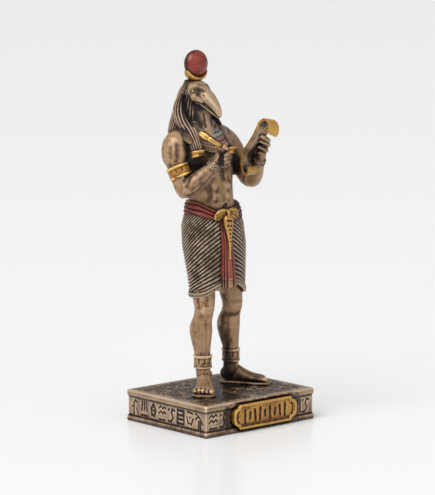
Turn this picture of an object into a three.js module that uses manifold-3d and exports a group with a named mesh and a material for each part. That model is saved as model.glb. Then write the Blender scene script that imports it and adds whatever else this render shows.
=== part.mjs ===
// A small cold-cast figure of an ibis-headed scribe god, standing on its own plinth.
// Millimetres, +Z up. The origin is the centre of the plinth's underside, and the figure faces -Y.
// Three castings: the plinth, the nameplate let into its front, and the figure that stands on it.
import * as THREE from "three";
import { mergeVertices } from "three/addons/utils/BufferGeometryUtils.js";
import Module from "manifold-3d";

const wasm = await Module();
wasm.setup();

// Plinth: a low block with a rounded top slab, a sunk frieze on each side and a foot moulding.
const PLINTH_WIDTH = 34;
const PLINTH_DEPTH = 28;
const PLINTH_HEIGHT = 7.4;
const SLAB_THICKNESS = 1.5;
const FOOT_THICKNESS = 1.3;
const MOULDING_ROUND = 0.5;
const FRIEZE_DEPTH = 0.35;
const FRIEZE_GROOVE = 0.3;
const STROKE_WIDTH = 0.42;
const STROKE_DEPTH = 0.28;
const FRIEZE_MARGIN = 0.5;
const MARK_PITCH = 3.6;
const MARK_WIDTH = 1.9;
const NARROW_MARK_WIDTH = 1.3;

// Nameplate: a plaque with notched round ends, seated in a pocket through the mouldings, with its
// middle a little aside of the plinth's, towards +X.
const PLATE_WIDTH = 19.6;
const PLATE_HEIGHT = 5.7;
const PLATE_THICKNESS = 1.3;
const PLATE_PROUD = 0.75;
const PLATE_RIM = 0.55;
const PLATE_SUNK = 0.3;
const PLATE_END_ROUND = 1.9;
const PLATE_ASIDE = 0.95;
const POCKET_CLEARANCE = 0.3;
const NAME_STROKES = 7;
const NAME_MARGIN = 1.2;
const TALL_STROKE = 2.6;
const SHORT_STROKE = 1.5;
const STROKE_LEAN = 20;

// Figure: its height with the disc. The pose below is drawn at one size and then brought to this height.
const FIGURE_HEIGHT = 79.1;

// Figure details, in the drawing's millimetres above the soles.
const KILT_HEM_SIDE = 22.2;
const KILT_HEM_FRONT = 25.0;
const KILT_TOP = 42.2;
const KILT_SIDES = 16;
const PLEAT_PITCH = 2.1;
const PLEAT_DEPTH = 0.42;
const PLEAT_SLOPE_LOW = 0.42;
const PLEAT_SLOPE_HIGH = 0.88;
const SOLE_THICKNESS = 0.6;
const FOOT_LENGTH = 11.5;
const FINGER_RADIUS = 0.58;
const TOE_RADIUS = 0.55;
const HAIR_STRANDS = 12;
const HAIR_RELIEF = 0.3;
const SCROLL_NEAR_X = 3.6;
const SCROLL_WIDTH = 4.2;
const SCROLL_SHEET = 0.7;
const PEN_RADIUS = 0.42;
const DISC_RADIUS = 3.15;
const DISC_HALF_THICKNESS = 2.1;

const vector = (x, y, z) => new THREE.Vector3(x, y, z);
const FRONT = vector(0, -1, 0);
const UP = vector(0, 0, 1);

// A closed geometry as a solid that can be joined and cut.
function solid(geometry) {
  const bare = new THREE.BufferGeometry();
  bare.setAttribute("position", geometry.getAttribute("position"));
  if (geometry.index) bare.setIndex(geometry.index);
  const merged = mergeVertices(bare, 1e-4);
  return new wasm.Manifold(
    new wasm.Mesh({
      numProp: 3,
      vertProperties: merged.attributes.position.array,
      triVerts: new Uint32Array(merged.index.array),
    }),
  );
}

const join = (pieces) => pieces.reduce((all, piece) => all.add(piece));
const cut = (body, tools) => tools.reduce((left, tool) => left.subtract(tool), body);

// The outer skin of a solid, so that a casting has no sealed hollow in it.
function outerSkin(body) {
  return join(body.decompose().filter((shell) => shell.volume() > 0));
}

// A solid as a three.js geometry with flat faces.
function geometryOf(body) {
  const mesh = body.getMesh();
  const step = mesh.numProp;
  const places = new Float32Array(mesh.numVert * 3);
  for (let i = 0; i < mesh.numVert; i++) {
    places.set(mesh.vertProperties.subarray(i * step, i * step + 3), i * 3);
  }
  const geometry = new THREE.BufferGeometry();
  geometry.setAttribute("position", new THREE.BufferAttribute(places, 3));
  geometry.setIndex(new THREE.BufferAttribute(mesh.triVerts, 1));
  const flat = geometry.toNonIndexed();
  flat.computeVertexNormals();
  return flat;
}

// A plain closed cylinder whose vertices are moved one by one. place(angle, share, reach) gives the new
// position: angle is 0 at the front and a quarter turn at +X, share runs from 0 at the bottom row to 1 at
// the top row, and reach is 1 on the wall and 0 at the middle of an end.
function shaped(sides, rows, place) {
  const geometry = new THREE.CylinderGeometry(1, 1, 1, sides, rows);
  const spots = geometry.getAttribute("position");
  const spot = new THREE.Vector3();
  for (let i = 0; i < spots.count; i++) {
    spot.fromBufferAttribute(spots, i);
    const reach = Math.round(Math.hypot(spot.x, spot.z));
    const turn = Math.round((Math.atan2(spot.x, spot.z) / (2 * Math.PI)) * sides);
    const angle = (turn / sides) * 2 * Math.PI;
    const share = Math.round((spot.y + 0.5) * rows) / rows;
    const moved = place(angle, share, reach);
    spots.setXYZ(i, moved.x, moved.y, moved.z);
  }
  return geometry;
}

// Values between the rows of a table, along a smooth curve through them.
function between(table, share) {
  const span = share * (table.length - 1);
  const row = Math.min(Math.floor(span), table.length - 2);
  const t = span - row;
  const at = (i) => table[Math.max(0, Math.min(table.length - 1, i))];
  return table[row].map((_, k) => {
    const [a, b, c, d] = [at(row - 1)[k], at(row)[k], at(row + 1)[k], at(row + 2)[k]];
    const bend = (2 * a - 5 * b + 4 * c - d) * t * t + (3 * b - a - 3 * c + d) * t * t * t;
    return b + 0.5 * ((c - a) * t + bend);
  });
}

// A standing body of level elliptical rings: each row of the table is [x, y, z, half width, half depth].
function standing(table, sides, rows, relief = () => 0) {
  return solid(
    shaped(sides, rows, (angle, share, reach) => {
      const [x, y, z, a, b] = between(table, share);
      const out = reach * (1 + relief(angle, share) / Math.max(a, 1));
      return vector(x + a * out * Math.sin(angle), y - b * out * Math.cos(angle), z);
    }),
  );
}

// A limb: rings square to a smooth path. Each row is [x, y, z, half width, half thickness], and the
// thickness is measured towards the facing direction.
function limb(table, sides, rows, facing = FRONT) {
  const place = (share) => vector(...between(table, share).slice(0, 3));
  return solid(
    shaped(sides, rows, (angle, share, reach) => {
      const [x, y, z, wide, thick] = between(table, share);
      const ahead = place(Math.min(1, share + 0.01));
      const along = ahead.sub(place(Math.max(0, share - 0.01))).normalize();
      const out = facing.clone().addScaledVector(along, -facing.dot(along)).normalize();
      const across = along.clone().cross(out);
      return vector(x, y, z)
        .addScaledVector(across, reach * wide * Math.sin(angle))
        .addScaledVector(out, reach * thick * Math.cos(angle));
    }),
  );
}

// An ellipsoid at a place, turned by an Euler angle in degrees.
function lump(centre, radii, turn = [0, 0, 0], around = 8, down = 5) {
  const geometry = new THREE.SphereGeometry(1, around, down);
  geometry.rotateX(Math.PI / 2);
  geometry.scale(...radii);
  const euler = new THREE.Euler(...turn.map(THREE.MathUtils.degToRad));
  geometry.applyMatrix4(new THREE.Matrix4().makeRotationFromEuler(euler));
  geometry.translate(...centre);
  return solid(geometry);
}

// A flat outline in X and Y, given thickness along +Z, as a geometry still to be placed.
function slab(points, thickness) {
  return new THREE.ExtrudeGeometry(new THREE.Shape(points), {
    depth: thickness,
    bevelEnabled: false,
  });
}

const mirrored = (side) => (side === "right" ? -1 : 1);

// Legs, feet and sandals

// Rows from the hip to the ankle, one leg a little further forward than the other.
const LEGS = {
  right: [
    [-3.9, 1.5, 2.4, 1.3, 1.7],
    [-4.6, 0.9, 4.2, 1.55, 1.8],
    [-4.7, 1.1, 8.4, 1.8, 1.95],
    [-4.6, 1.5, 11.4, 2.3, 2.45],
    [-4.5, 1.8, 14.4, 2.75, 2.9],
    [-4.4, 1.2, 17.2, 2.25, 2.3],
    [-4.3, 0.8, 19.6, 2.3, 2.6],
    [-3.9, 1.6, 23.0, 2.7, 2.8],
    [-3.6, 2.4, 27.0, 2.6, 2.6],
  ],
  left: [
    [5.9, 3.7, 2.4, 1.4, 1.7],
    [6.2, 3.3, 4.2, 1.65, 1.8],
    [6.1, 3.2, 8.4, 1.95, 2.0],
    [5.8, 3.4, 11.4, 2.4, 2.45],
    [5.5, 3.4, 14.4, 2.8, 2.9],
    [5.5, 2.5, 17.2, 2.35, 2.3],
    [5.4, 1.9, 19.6, 2.4, 2.6],
    [4.9, 2.1, 23.0, 2.7, 2.8],
    [4.4, 2.4, 27.0, 2.6, 2.6],
  ],
};
// Where the back of each heel stands, and which way the toes point, in degrees out from straight ahead.
const HEELS = {
  right: { place: [-2.7, 2.7], turn: -42 },
  left: { place: [5.2, 5.4], turn: 38 },
};
const ANKLET_LEVELS = [5.4, 8.4];

// Places measured along a foot: how far from the heel, how far to the big toe's side, how high.
function footPlace(side, along, inward, high) {
  const { place, turn } = HEELS[side];
  const angle = THREE.MathUtils.degToRad(turn);
  const toes = vector(Math.sin(angle), -Math.cos(angle), 0);
  const inner = vector(-toes.y, toes.x, 0).multiplyScalar(-mirrored(side));
  return vector(place[0], place[1], high)
    .addScaledVector(toes, along)
    .addScaledVector(inner, inward);
}

function foot(side) {
  const row = (along, inward, high, wide, thick) => [
    ...footPlace(side, along, inward, high).toArray(),
    wide,
    thick,
  ];
  const body = limb(
    [
      row(0.1, 0, 1.5, 0.9, 0.8),
      row(0.8, 0, 1.9, 1.5, 1.8),
      row(2.6, 0, 2.4, 1.75, 2.3),
      row(5.0, 0.1, 1.95, 1.8, 1.8),
      row(7.3, 0.1, 1.45, 2.15, 1.2),
      row(9.3, 0.0, 1.15, 2.35, 0.75),
      row(10.0, 0.0, 1.05, 1.9, 0.45),
    ],
    7,
    4,
    UP,
  );
  const toes = [];
  for (let n = 0; n < 5; n++) {
    const big = n === 0;
    const radius = big ? TOE_RADIUS * 1.3 : TOE_RADIUS * (1 - 0.05 * n);
    const inward = big ? 1.75 : 1.75 - 0.25 - n * 0.93;
    const tip = FOOT_LENGTH - 0.35 - n * 0.3;
    toes.push(
      limb(
        [
          row(tip - 2.6, inward, 1.2, radius, radius),
          row(tip, inward, 0.85, radius * 0.75, radius * 0.7),
        ],
        4,
        1,
        UP,
      ),
    );
  }
  return join([body, ...toes]);
}

// The sandal's sole, a little larger than the foot all round.
function sole(side) {
  const halfWidths = [
    [-0.4, 0.8],
    [0.6, 1.75],
    [4.4, 1.85],
    [9.0, 2.8],
    [11.2, 2.35],
    [11.9, 1.3],
  ];
  const edge = (sign) =>
    halfWidths.map(([along, half]) => {
      const spot = footPlace(side, along, sign * half, 0);
      return new THREE.Vector2(spot.x, spot.y);
    });
  const outline = [...edge(1), ...edge(-1).reverse()];
  if (THREE.ShapeUtils.isClockWise(outline)) outline.reverse();
  return solid(slab(outline, SOLE_THICKNESS));
}

// The strap over the instep.
function strap(side) {
  const over = (share) => {
    const swing = Math.PI * share;
    const spot = footPlace(side, 4.6 + 0.5 * Math.sin(swing), 2.0 * Math.cos(swing), 0);
    return [spot.x, spot.y, 0.5 + 3.1 * Math.sin(swing), 0.28, 0.5];
  };
  return limb([0, 0.25, 0.5, 0.75, 1].map(over), 4, 4, UP);
}

// A round band about a limb with a bead along each edge.
function band(centre, along, radius, height, sides = 10) {
  const profile = [
    [0, -0.5],
    [1.12, -0.5],
    [1.02, 0],
    [1.12, 0.5],
    [0, 0.5],
  ].map(([r, h]) => new THREE.Vector2(r * radius, h * height));
  const geometry = new THREE.LatheGeometry(profile, sides);
  const turn = new THREE.Quaternion().setFromUnitVectors(
    vector(0, 1, 0),
    vector(...along).normalize(),
  );
  geometry.applyQuaternion(turn);
  geometry.translate(...centre);
  return solid(geometry);
}

function leg(side) {
  const rows = LEGS[side];
  const [low, high] = ANKLET_LEVELS;
  const [x, y] = rows[1].map((value, k) => (value + rows[2][k]) / 2);
  const anklet = band([x, y, (low + high) / 2], [0, 0, 1], 2.0, high - low, 8);
  return join([limb(rows, 8, 7), anklet, foot(side), sole(side), strap(side)]);
}

// Torso and collar

const TORSO = [
  [0.1, 2.9, 34, 6.6, 4.4],
  [0.0, 2.9, 40, 6.2, 4.5],
  [-0.2, 3.0, 44, 5.9, 4.4],
  [-0.6, 3.3, 47.5, 6.3, 4.7],
  [-1.1, 3.7, 51, 7.1, 5.0],
  [-1.5, 4.2, 54.5, 7.9, 5.2],
  [-1.7, 4.6, 57.5, 7.7, 4.7],
  [-1.8, 5.0, 59.8, 5.8, 3.8],
  [-1.9, 5.2, 61.6, 3.3, 2.9],
];
const CHEST_X = -1.7;

function torso() {
  const breasts = [-1, 1].map((side) =>
    lump([CHEST_X + side * 3.4, 0.75, 54.6], [3.7, 1.7, 2.9], [0, 0, side * 16]),
  );
  const abdomen = [-1, 1].map((side) =>
    limb(
      [
        [-0.15 + side * 0.9, -0.6, 42.6, 0.9, 0.7],
        [-0.3 + side * 1.35, -0.85, 44.6, 1.35, 1.0],
        [-0.5 + side * 1.2, -0.75, 46.2, 1.05, 0.75],
        [-0.7 + side * 1.45, -0.8, 47.8, 1.4, 0.95],
        [-0.9 + side * 1.3, -0.5, 49.4, 1.1, 0.75],
        [-1.1 + side * 1.5, -0.3, 51.2, 1.2, 0.7],
      ],
      5,
      5,
    ),
  );
  const neck = standing(
    [
      [-1.9, 4.4, 58.6, 3.0, 4.2],
      [-2.0, 4.7, 61.6, 2.6, 3.4],
      [-2.2, 5.2, 64.4, 2.3, 3.1],
      [-2.3, 5.8, 67.6, 2.2, 2.5],
    ],
    8,
    3,
  );
  return join([standing(TORSO, 12, 6), ...breasts, ...abdomen, neck]);
}

// The broad collar lies on chest and shoulders: rows from the neck out, then back under its rim.
function collar() {
  const rows = [
    [3.0, 2.9, 62.9, 61.3],
    [5.6, 4.4, 61.6, 59.6],
    [7.4, 5.5, 60.8, 57.7],
    [8.4, 6.2, 60.1, 56.5],
    [8.3, 6.1, 59.2, 55.7],
    [5.0, 3.8, 57.4, 55.2],
  ].reverse();
  return solid(
    shaped(16, rows.length - 1, (angle, share, reach) => {
      const [a, b, sideLevel, frontLevel] = rows[Math.round(share * (rows.length - 1))];
      const front = Math.max(0, Math.cos(angle)) ** 2;
      const level = sideLevel + (frontLevel - sideLevel) * front;
      const x = CHEST_X + a * reach * Math.sin(angle);
      const depth = Math.cos(angle) > 0 ? b : b * 0.7;
      return vector(x, 5.0 - depth * reach * Math.cos(angle), reach ? level : sideLevel);
    }),
  );
}

// Kilt, belt and sash

const KILT = [
  [1.0, 2.0, 14, 7.2, 5.0],
  [0.9, 2.0, 20.6, 7.4, 5.1],
  [0.6, 2.2, 27.4, 7.7, 5.35],
  [0.3, 2.6, 34, 8.0, 5.6],
  [0.1, 2.9, 38.5, 7.9, 5.6],
  [0.0, 2.95, 42.4, 6.9, 5.05],
  [0.0, 3.0, 45.4, 6.2, 4.65],
];
const KILT_ROUND = 6.8;

// Half width, half depth and centre of the kilt's cloth at a height.
function kiltRing(z) {
  const low = KILT[0][2];
  const high = KILT[KILT.length - 1][2];
  const level = Math.max(low, Math.min(high, z));
  let row = KILT.length - 2;
  while (row > 0 && KILT[row][2] > level) row--;
  const t = (level - KILT[row][2]) / (KILT[row + 1][2] - KILT[row][2]);
  return KILT[row].map((value, k) => value + t * (KILT[row + 1][k] - value));
}

function kiltPlace(angle, z, out) {
  const [x, y, , a, b] = kiltRing(z);
  return vector(x + (a + out) * Math.sin(angle), y - (b + out) * Math.cos(angle), z);
}

// Pleats sweep down from the middle of the front round to the back, so each row of the mesh is a ring that
// is highest in front, and the rings stand out and in by turns. The hem and the waist are then cut.
function kilt() {
  const reachRound = Math.PI * KILT_ROUND;
  const top = KILT_TOP + PLEAT_SLOPE_HIGH * reachRound;
  const pleats = Math.round((top - KILT_HEM_FRONT) / PLEAT_PITCH) + 1;
  const rows = pleats * 2;
  const cloth = solid(
    shaped(KILT_SIDES, rows, (angle, share, reach) => {
      const slope = PLEAT_SLOPE_LOW + (PLEAT_SLOPE_HIGH - PLEAT_SLOPE_LOW) * share;
      const start = KILT_HEM_FRONT - PLEAT_PITCH + share * pleats * PLEAT_PITCH;
      const fold = Math.round(share * rows) % 2 ? 0 : PLEAT_DEPTH;
      const drop = slope * KILT_ROUND * Math.abs(angle);
      const level = start - (reach ? drop : (slope * reachRound) / 2);
      const place = kiltPlace(angle, level, 0.15 - fold);
      return reach ? place : vector(0.4, 2.6, level);
    }),
  );
  const rise = KILT_HEM_FRONT - KILT_HEM_SIDE;
  const cover = solid(
    shaped(KILT_SIDES, 1, (angle, share, reach) => {
      const lift = reach * rise * Math.max(0, Math.cos(angle)) ** 3;
      const wide = reach * 12;
      const level = share ? KILT_TOP : KILT_HEM_SIDE + lift;
      return vector(wide * Math.sin(angle), 2.6 - wide * Math.cos(angle), level);
    }),
  );
  const hem = solid(
    shaped(KILT_SIDES, 2, (angle, share, reach) => {
      const lift = reach * rise * Math.max(0, Math.cos(angle)) ** 3;
      const level = KILT_HEM_SIDE + lift + share * 1.3;
      const place = kiltPlace(angle, level, share === 0.5 ? 0.45 : 0.15);
      return reach ? place : vector(0.8, 2.1, level);
    }),
  );
  return join([cloth.intersect(cover), hem]);
}

// A wide belt of three twisted folds that dips in front.
function belt() {
  const folds = 3;
  const rows = folds * 2;
  return solid(
    shaped(KILT_SIDES, rows, (angle, share, reach) => {
      const dip = 1.2 * Math.max(0, Math.cos(angle)) ** 2;
      const level = 41.5 - dip + share * 2.8;
      const swell = Math.round(share * rows) % 2 ? 0.55 : 0.2;
      const place = kiltPlace(angle, level, swell);
      return reach ? place : vector(0, 3, 41.5 + share * 2.8);
    }),
  );
}

const SASH_X = -0.5;

// The hanging sash: a flat tail in folds, with a narrow ornament on it and a wing-shaped clasp above.
function sash() {
  const outline = [];
  const folds = 3;
  for (let i = 0; i <= folds * 2; i++) {
    const share = i / (folds * 2);
    const depth = i % 2 ? 0.2 : 0.55;
    outline.push([share * 2 - 1, depth]);
  }
  const levels = [
    [41.2, 1.15, -2.6],
    [36.0, 1.35, -3.2],
    [24.6, 2.0, -3.3],
  ].reverse();
  const sides = outline.length * 2;
  const tail = solid(
    shaped(sides, levels.length - 1, (angle, share, reach) => {
      const [z, half, y] = levels[Math.round(share * (levels.length - 1))];
      if (!reach) return vector(SASH_X, y + 0.7, z);
      const n = (Math.round((angle / (2 * Math.PI)) * sides) + sides) % sides;
      const shifted = (n + outline.length / 2 + 0.5) % sides | 0;
      const front = shifted < outline.length;
      const [across, depth] = front ? outline[shifted] : outline[sides - 1 - shifted];
      return vector(SASH_X + across * half, front ? y - depth : y + 1.6, z);
    }),
  );
  const ornament = limb(
    [
      [SASH_X, -3.9, 31.8, 0.3, 0.3],
      [SASH_X, -4.0, 35.0, 0.6, 0.4],
      [SASH_X, -4.0, 38.0, 1.0, 0.5],
      [SASH_X, -3.6, 40.4, 0.8, 0.6],
    ],
    5,
    3,
  );
  const wings = [-1, 1].map((side) =>
    limb(
      [
        [SASH_X + side * 0.2, -3.1, 42.2, 0.5, 0.5],
        [SASH_X + side * 1.3, -3.1, 42.0, 1.0, 0.6],
        [SASH_X + side * 2.5, -2.7, 41.3, 1.25, 0.6],
        [SASH_X + side * 3.4, -2.2, 40.4, 0.7, 0.4],
      ],
      6,
      3,
    ),
  );
  const knot = lump([SASH_X, -3.3, 42.1], [0.8, 0.7, 0.9], [0, 0, 0], 6, 4);
  return join([tail, ornament, ...wings, knot]);
}

// Head, beak and wig

const HEAD_X = -2.3;

function head() {
  const skull = lump([HEAD_X, 5.6, 69.2], [2.65, 3.3, 2.9], [12, 0, 0], 10, 6);
  const beak = limb(
    [
      [HEAD_X, 4.6, 69.6, 2.2, 2.1],
      [HEAD_X, 2.9, 68.9, 1.7, 1.85],
      [HEAD_X, 1.3, 68.0, 1.3, 1.5],
      [HEAD_X, -0.2, 66.8, 1.05, 1.25],
      [HEAD_X, -1.4, 65.6, 0.85, 1.0],
      [HEAD_X, -2.0, 64.6, 0.6, 0.7],
      [HEAD_X, -2.25, 64.1, 0.25, 0.3],
    ],
    7,
    6,
    UP,
  );
  const details = [];
  for (const side of [-1, 1]) {
    details.push(lump([HEAD_X + side * 1.3, 3.6, 70.9], [1.05, 1.7, 0.85], [14, 0, -side * 14], 6, 3));
    details.push(lump([HEAD_X + side * 2.15, 3.9, 69.8], [0.6, 0.75, 0.6], [0, 0, 0], 5, 3));
  }
  return join([skull, beak, ...details]);
}

// The wig: a ridged mass down the back, and on each side a fall of hair that comes forward over the
// shoulder and ends in a cuff on the chest.
function wig() {
  const rows = [
    [-1.8, 8.6, 53.6, 5.0, 1.6],
    [-1.8, 8.3, 56.6, 6.3, 2.6],
    [-1.9, 7.8, 60.0, 6.9, 3.4],
    [-2.1, 7.6, 63.0, 5.9, 3.7],
    [-2.2, 7.6, 66.2, 4.4, 3.2],
    [-2.3, 7.5, 69.4, 3.2, 2.8],
    [-2.3, 6.8, 72.0, 1.4, 1.8],
  ];
  const sides = HAIR_STRANDS * 2;
  const back = standing(rows, sides, 5, (angle, share) => {
    const groove = Math.round((angle / (2 * Math.PI)) * sides) % 2;
    return groove && share < 0.95 ? -HAIR_RELIEF * 2 : 0;
  });
  return join([back, fall(-1), fall(1)]);
}

const PARTING_X = -2.1;

function fall(side) {
  const row = (x, y, z, wide, thick) => [PARTING_X + side * x, y, z, wide, thick];
  const facing = vector(side * 0.8, -0.6, 0);
  const hair = limb(
    [
      row(1.4, 7.4, 71.6, 0.8, 0.9),
      row(3.5, 7.3, 68.4, 0.9, 1.0),
      row(4.4, 7.0, 65.3, 1.6, 1.1),
      row(4.7, 5.6, 62.7, 1.8, 1.2),
      row(4.6, 3.2, 60.2, 1.8, 1.2),
      row(4.9, 1.1, 58.0, 1.5, 1.0),
      row(5.2, -0.3, 55.8, 1.3, 0.8),
    ],
    6,
    5,
    facing,
  );
  const cuff = limb(
    [row(5.2, -0.7, 55.0, 1.5, 1.0), row(5.2, -0.3, 56.7, 1.5, 1.1)],
    8,
    1,
    facing,
  );
  return join([hair, cuff]);
}

const DISC_CENTRE = vector(HEAD_X, 6.0, 75.95);

// The full disc in its crescent, above the crown.
function moon() {
  const centre = DISC_CENTRE;
  const disc = lump(centre.toArray(), [DISC_RADIUS, DISC_HALF_THICKNESS, DISC_RADIUS], [0, 0, 0], 10, 7);
  const horns = [];
  const steps = 8;
  for (let i = 0; i <= steps; i++) {
    const swing = THREE.MathUtils.degToRad(-96 + (192 * i) / steps);
    const taper = Math.cos(swing * 0.9);
    const reach = DISC_RADIUS - 0.15 + 0.35 * taper;
    horns.push([
      centre.x + reach * Math.sin(swing),
      centre.y,
      centre.z - reach * Math.cos(swing),
      0.3 + 1.35 * taper,
      0.2 + 0.5 * taper,
    ]);
  }
  const crescent = limb(horns, 4, 8, UP.clone().add(vector(0.01, 0, 0)));
  const neck = standing(
    [
      [HEAD_X, 6.2, 71.2, 1.4, 1.4],
      [HEAD_X, 6.0, 73.2, 0.9, 0.9],
    ],
    8,
    1,
  );
  return join([disc, crescent, neck]);
}

// Arms, hands and what they hold

const ARMS = {
  right: {
    upper: [
      [-7.8, 5.2, 58.8, 2.2, 2.4],
      [-9.5, 4.9, 57.7, 2.9, 3.1],
      [-10.1, 4.3, 55.0, 3.15, 3.3],
      [-10.4, 3.3, 51.8, 2.45, 2.5],
      [-10.4, 2.4, 49.2, 2.35, 2.3],
      [-10.2, 1.7, 47.2, 2.1, 2.0],
      [-9.9, 1.2, 45.6, 1.1, 1.1],
    ],
    fore: [
      [-10.2, 1.8, 46.6, 1.6, 1.6],
      [-9.2, 0.6, 47.8, 2.2, 2.2],
      [-7.8, -1.1, 49.7, 2.1, 2.1],
      [-6.4, -2.5, 51.6, 1.7, 1.7],
      [-5.1, -3.5, 53.1, 1.35, 1.4],
    ],
    armlet: { centre: [-10.4, 3.2, 51.6], along: [0, 0.32, 1], radius: 2.55 },
  },
  left: {
    upper: [
      [4.4, 5.4, 58.6, 2.2, 2.4],
      [5.8, 5.2, 57.6, 2.8, 3.0],
      [7.2, 4.4, 55.0, 3.0, 3.2],
      [8.7, 3.2, 52.0, 2.45, 2.5],
      [9.7, 2.1, 49.8, 2.35, 2.3],
      [10.2, 1.2, 48.0, 2.0, 2.0],
      [10.3, 0.8, 46.7, 1.1, 1.1],
    ],
    fore: [
      [10.4, 1.4, 47.8, 1.6, 1.6],
      [10.1, 0.2, 48.6, 2.1, 2.1],
      [9.5, -1.6, 50.2, 2.0, 2.0],
      [8.9, -3.2, 51.9, 1.6, 1.6],
      [8.5, -4.4, 53.5, 1.3, 1.35],
    ],
    armlet: { centre: [8.8, 3.0, 51.8], along: [-0.4, 0.42, 1], radius: 2.55 },
  },
};
const ARMLET_HEIGHT = 3.1;
const BRACELET_RADIUS = 1.55;

function arm(side) {
  const { upper, fore, armlet } = ARMS[side];
  const wrist = fore[fore.length - 1].slice(0, 3);
  const before = fore[fore.length - 2].slice(0, 3);
  const along = wrist.map((value, k) => value - before[k]);
  return join([
    limb(upper, 8, 5),
    limb(fore, 8, 3, vector(0.2, -1, 0.3)),
    band(armlet.centre, armlet.along, armlet.radius, ARMLET_HEIGHT),
    band(wrist, along, BRACELET_RADIUS, 1.4, 8),
  ]);
}

// A finger or a thumb through the given places, one radius throughout but for its tip.
function digit(places, radius, towards) {
  const last = places.length - 1;
  const table = places.map((place, k) => [...place, radius, radius * (k === last ? 0.7 : 1)]);
  return limb(table, 4, last, towards);
}

// The right hand holds the pen as for writing: thumb and first finger meet on it, the others curl below.
function rightHand() {
  const palm = limb(
    [
      [-5.3, -3.3, 52.8, 1.3, 1.2],
      [-4.3, -4.0, 54.1, 1.8, 1.1],
      [-2.9, -4.8, 55.2, 2.0, 0.9],
    ],
    8,
    2,
    vector(-0.55, -0.83, 0),
  );
  const fingers = [0, 1, 2, 3].map((n) => {
    const drop = n * 1.0;
    return digit(
      [
        [-2.9, -4.8, 56.6 - drop * 0.85],
        [-2.1, -5.8, 57.0 - drop],
        [-3.1 + n * 0.2, -5.7 - n * 0.1, 57.6 - drop],
      ],
      FINGER_RADIUS,
      UP,
    );
  });
  const thumb = digit(
    [
      [-5.1, -3.8, 54.4],
      [-5.1, -4.5, 56.0],
      [-4.1, -4.6, 57.3],
    ],
    FINGER_RADIUS * 1.1,
    FRONT,
  );
  return join([palm, ...fingers, thumb]);
}

// How far forward the scroll's sheet stands at a height, between its two curls.
const sheetAt = (z) => -3.3 - (z - 55.2) * 0.87;

// The left hand stands behind the scroll's far edge, and the fingers wrap round that edge to its front.
function leftHand() {
  const body = limb(
    [
      [8.5, -4.3, 53.2, 1.2, 1.2],
      [8.5, -4.2, 54.8, 1.2, 1.6],
      [8.5, -5.0, 56.8, 1.1, 1.7],
      [8.4, -6.3, 58.8, 0.9, 1.4],
      [8.3, -7.0, 59.8, 0.5, 0.8],
    ],
    8,
    3,
  );
  const fingers = [0, 1, 2, 3].map((n) => {
    const z = 55.2 + n * 1.32;
    const y = sheetAt(z);
    const reach = 9.1 - n * 0.25;
    return digit(
      [
        [reach - 0.5, y + 0.6, z - 0.3],
        [reach, y - 0.7, z],
        [7.7, y - 1.3, z + 0.1],
        [6.0, y - 0.9, z - 0.2],
      ],
      FINGER_RADIUS * 1.1,
      UP,
    );
  });
  const thumb = digit(
    [
      [8.0, -3.4, 54.6],
      [6.8, -4.0, 56.6],
      [5.8, -5.0, 58.2],
    ],
    FINGER_RADIUS,
    FRONT,
  );
  return join([body, ...fingers, thumb]);
}

// The scroll's profile in Y and Z, from the lip of its lower curl to the lip of its upper one.
function scroll() {
  const middle = [
    [-6.7, 52.9],
    [-6.6, 51.6],
    [-5.3, 50.6],
    [-3.6, 51.0],
    [-2.8, 52.8],
    [-3.3, 55.2],
    [-5.2, 57.4],
    [-7.3, 59.9],
    [-8.6, 62.0],
    [-9.3, 63.3],
    [-10.2, 63.6],
    [-10.9, 62.8],
    [-11.0, 61.6],
    [-10.4, 60.7],
  ].map(([y, z]) => new THREE.Vector3(y, z, 0));
  const line = new THREE.SplineCurve(middle.map((p) => new THREE.Vector2(p.x, p.y)));
  const steps = 15;
  const edge = (sign) => {
    const points = [];
    for (let i = 0; i <= steps; i++) {
      const share = i / steps;
      const tangent = line.getTangent(share);
      const across = new THREE.Vector2(-tangent.y, tangent.x);
      points.push(line.getPoint(share).addScaledVector(across, (sign * SCROLL_SHEET) / 2));
    }
    return points;
  };
  const outline = [...edge(1), ...edge(-1).reverse()];
  if (THREE.ShapeUtils.isClockWise(outline)) outline.reverse();
  const geometry = slab(outline, SCROLL_WIDTH);
  // The outline's own X and Y become the figure's Y and Z, and its thickness runs along +X.
  geometry.applyMatrix4(
    new THREE.Matrix4().makeBasis(vector(0, 1, 0), vector(0, 0, 1), vector(1, 0, 0)),
  );
  geometry.translate(SCROLL_NEAR_X, 0, 0);
  return solid(geometry);
}

const PEN_BUTT = vector(-6.4, -0.4, 60.4);
const PEN_GRIP = vector(-3.6, -4.8, 57.4);
const PEN_LINE = PEN_GRIP.clone().sub(PEN_BUTT).normalize();

function pen() {
  const at = (distance, radius) => [
    ...PEN_BUTT.clone().addScaledVector(PEN_LINE, distance).toArray(),
    radius,
    radius,
  ];
  return limb(
    [
      at(-0.3, 0.45),
      at(1.2, 0.85),
      at(3.0, 0.6),
      at(5.0, PEN_RADIUS),
      at(8.0, PEN_RADIUS * 0.5),
    ],
    6,
    4,
  );
}

function figure() {
  const drawn = join([
    leg("right"),
    leg("left"),
    torso(),
    collar(),
    kilt(),
    belt(),
    sash(),
    head(),
    wig(),
    moon(),
    arm("right"),
    arm("left"),
    rightHand(),
    leftHand(),
    scroll(),
    pen(),
  ]);
  const share = FIGURE_HEIGHT / (DISC_CENTRE.z + DISC_RADIUS);
  return geometryOf(outerSkin(drawn)).scale(share, share, share);
}

// Plinth and nameplate

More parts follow.
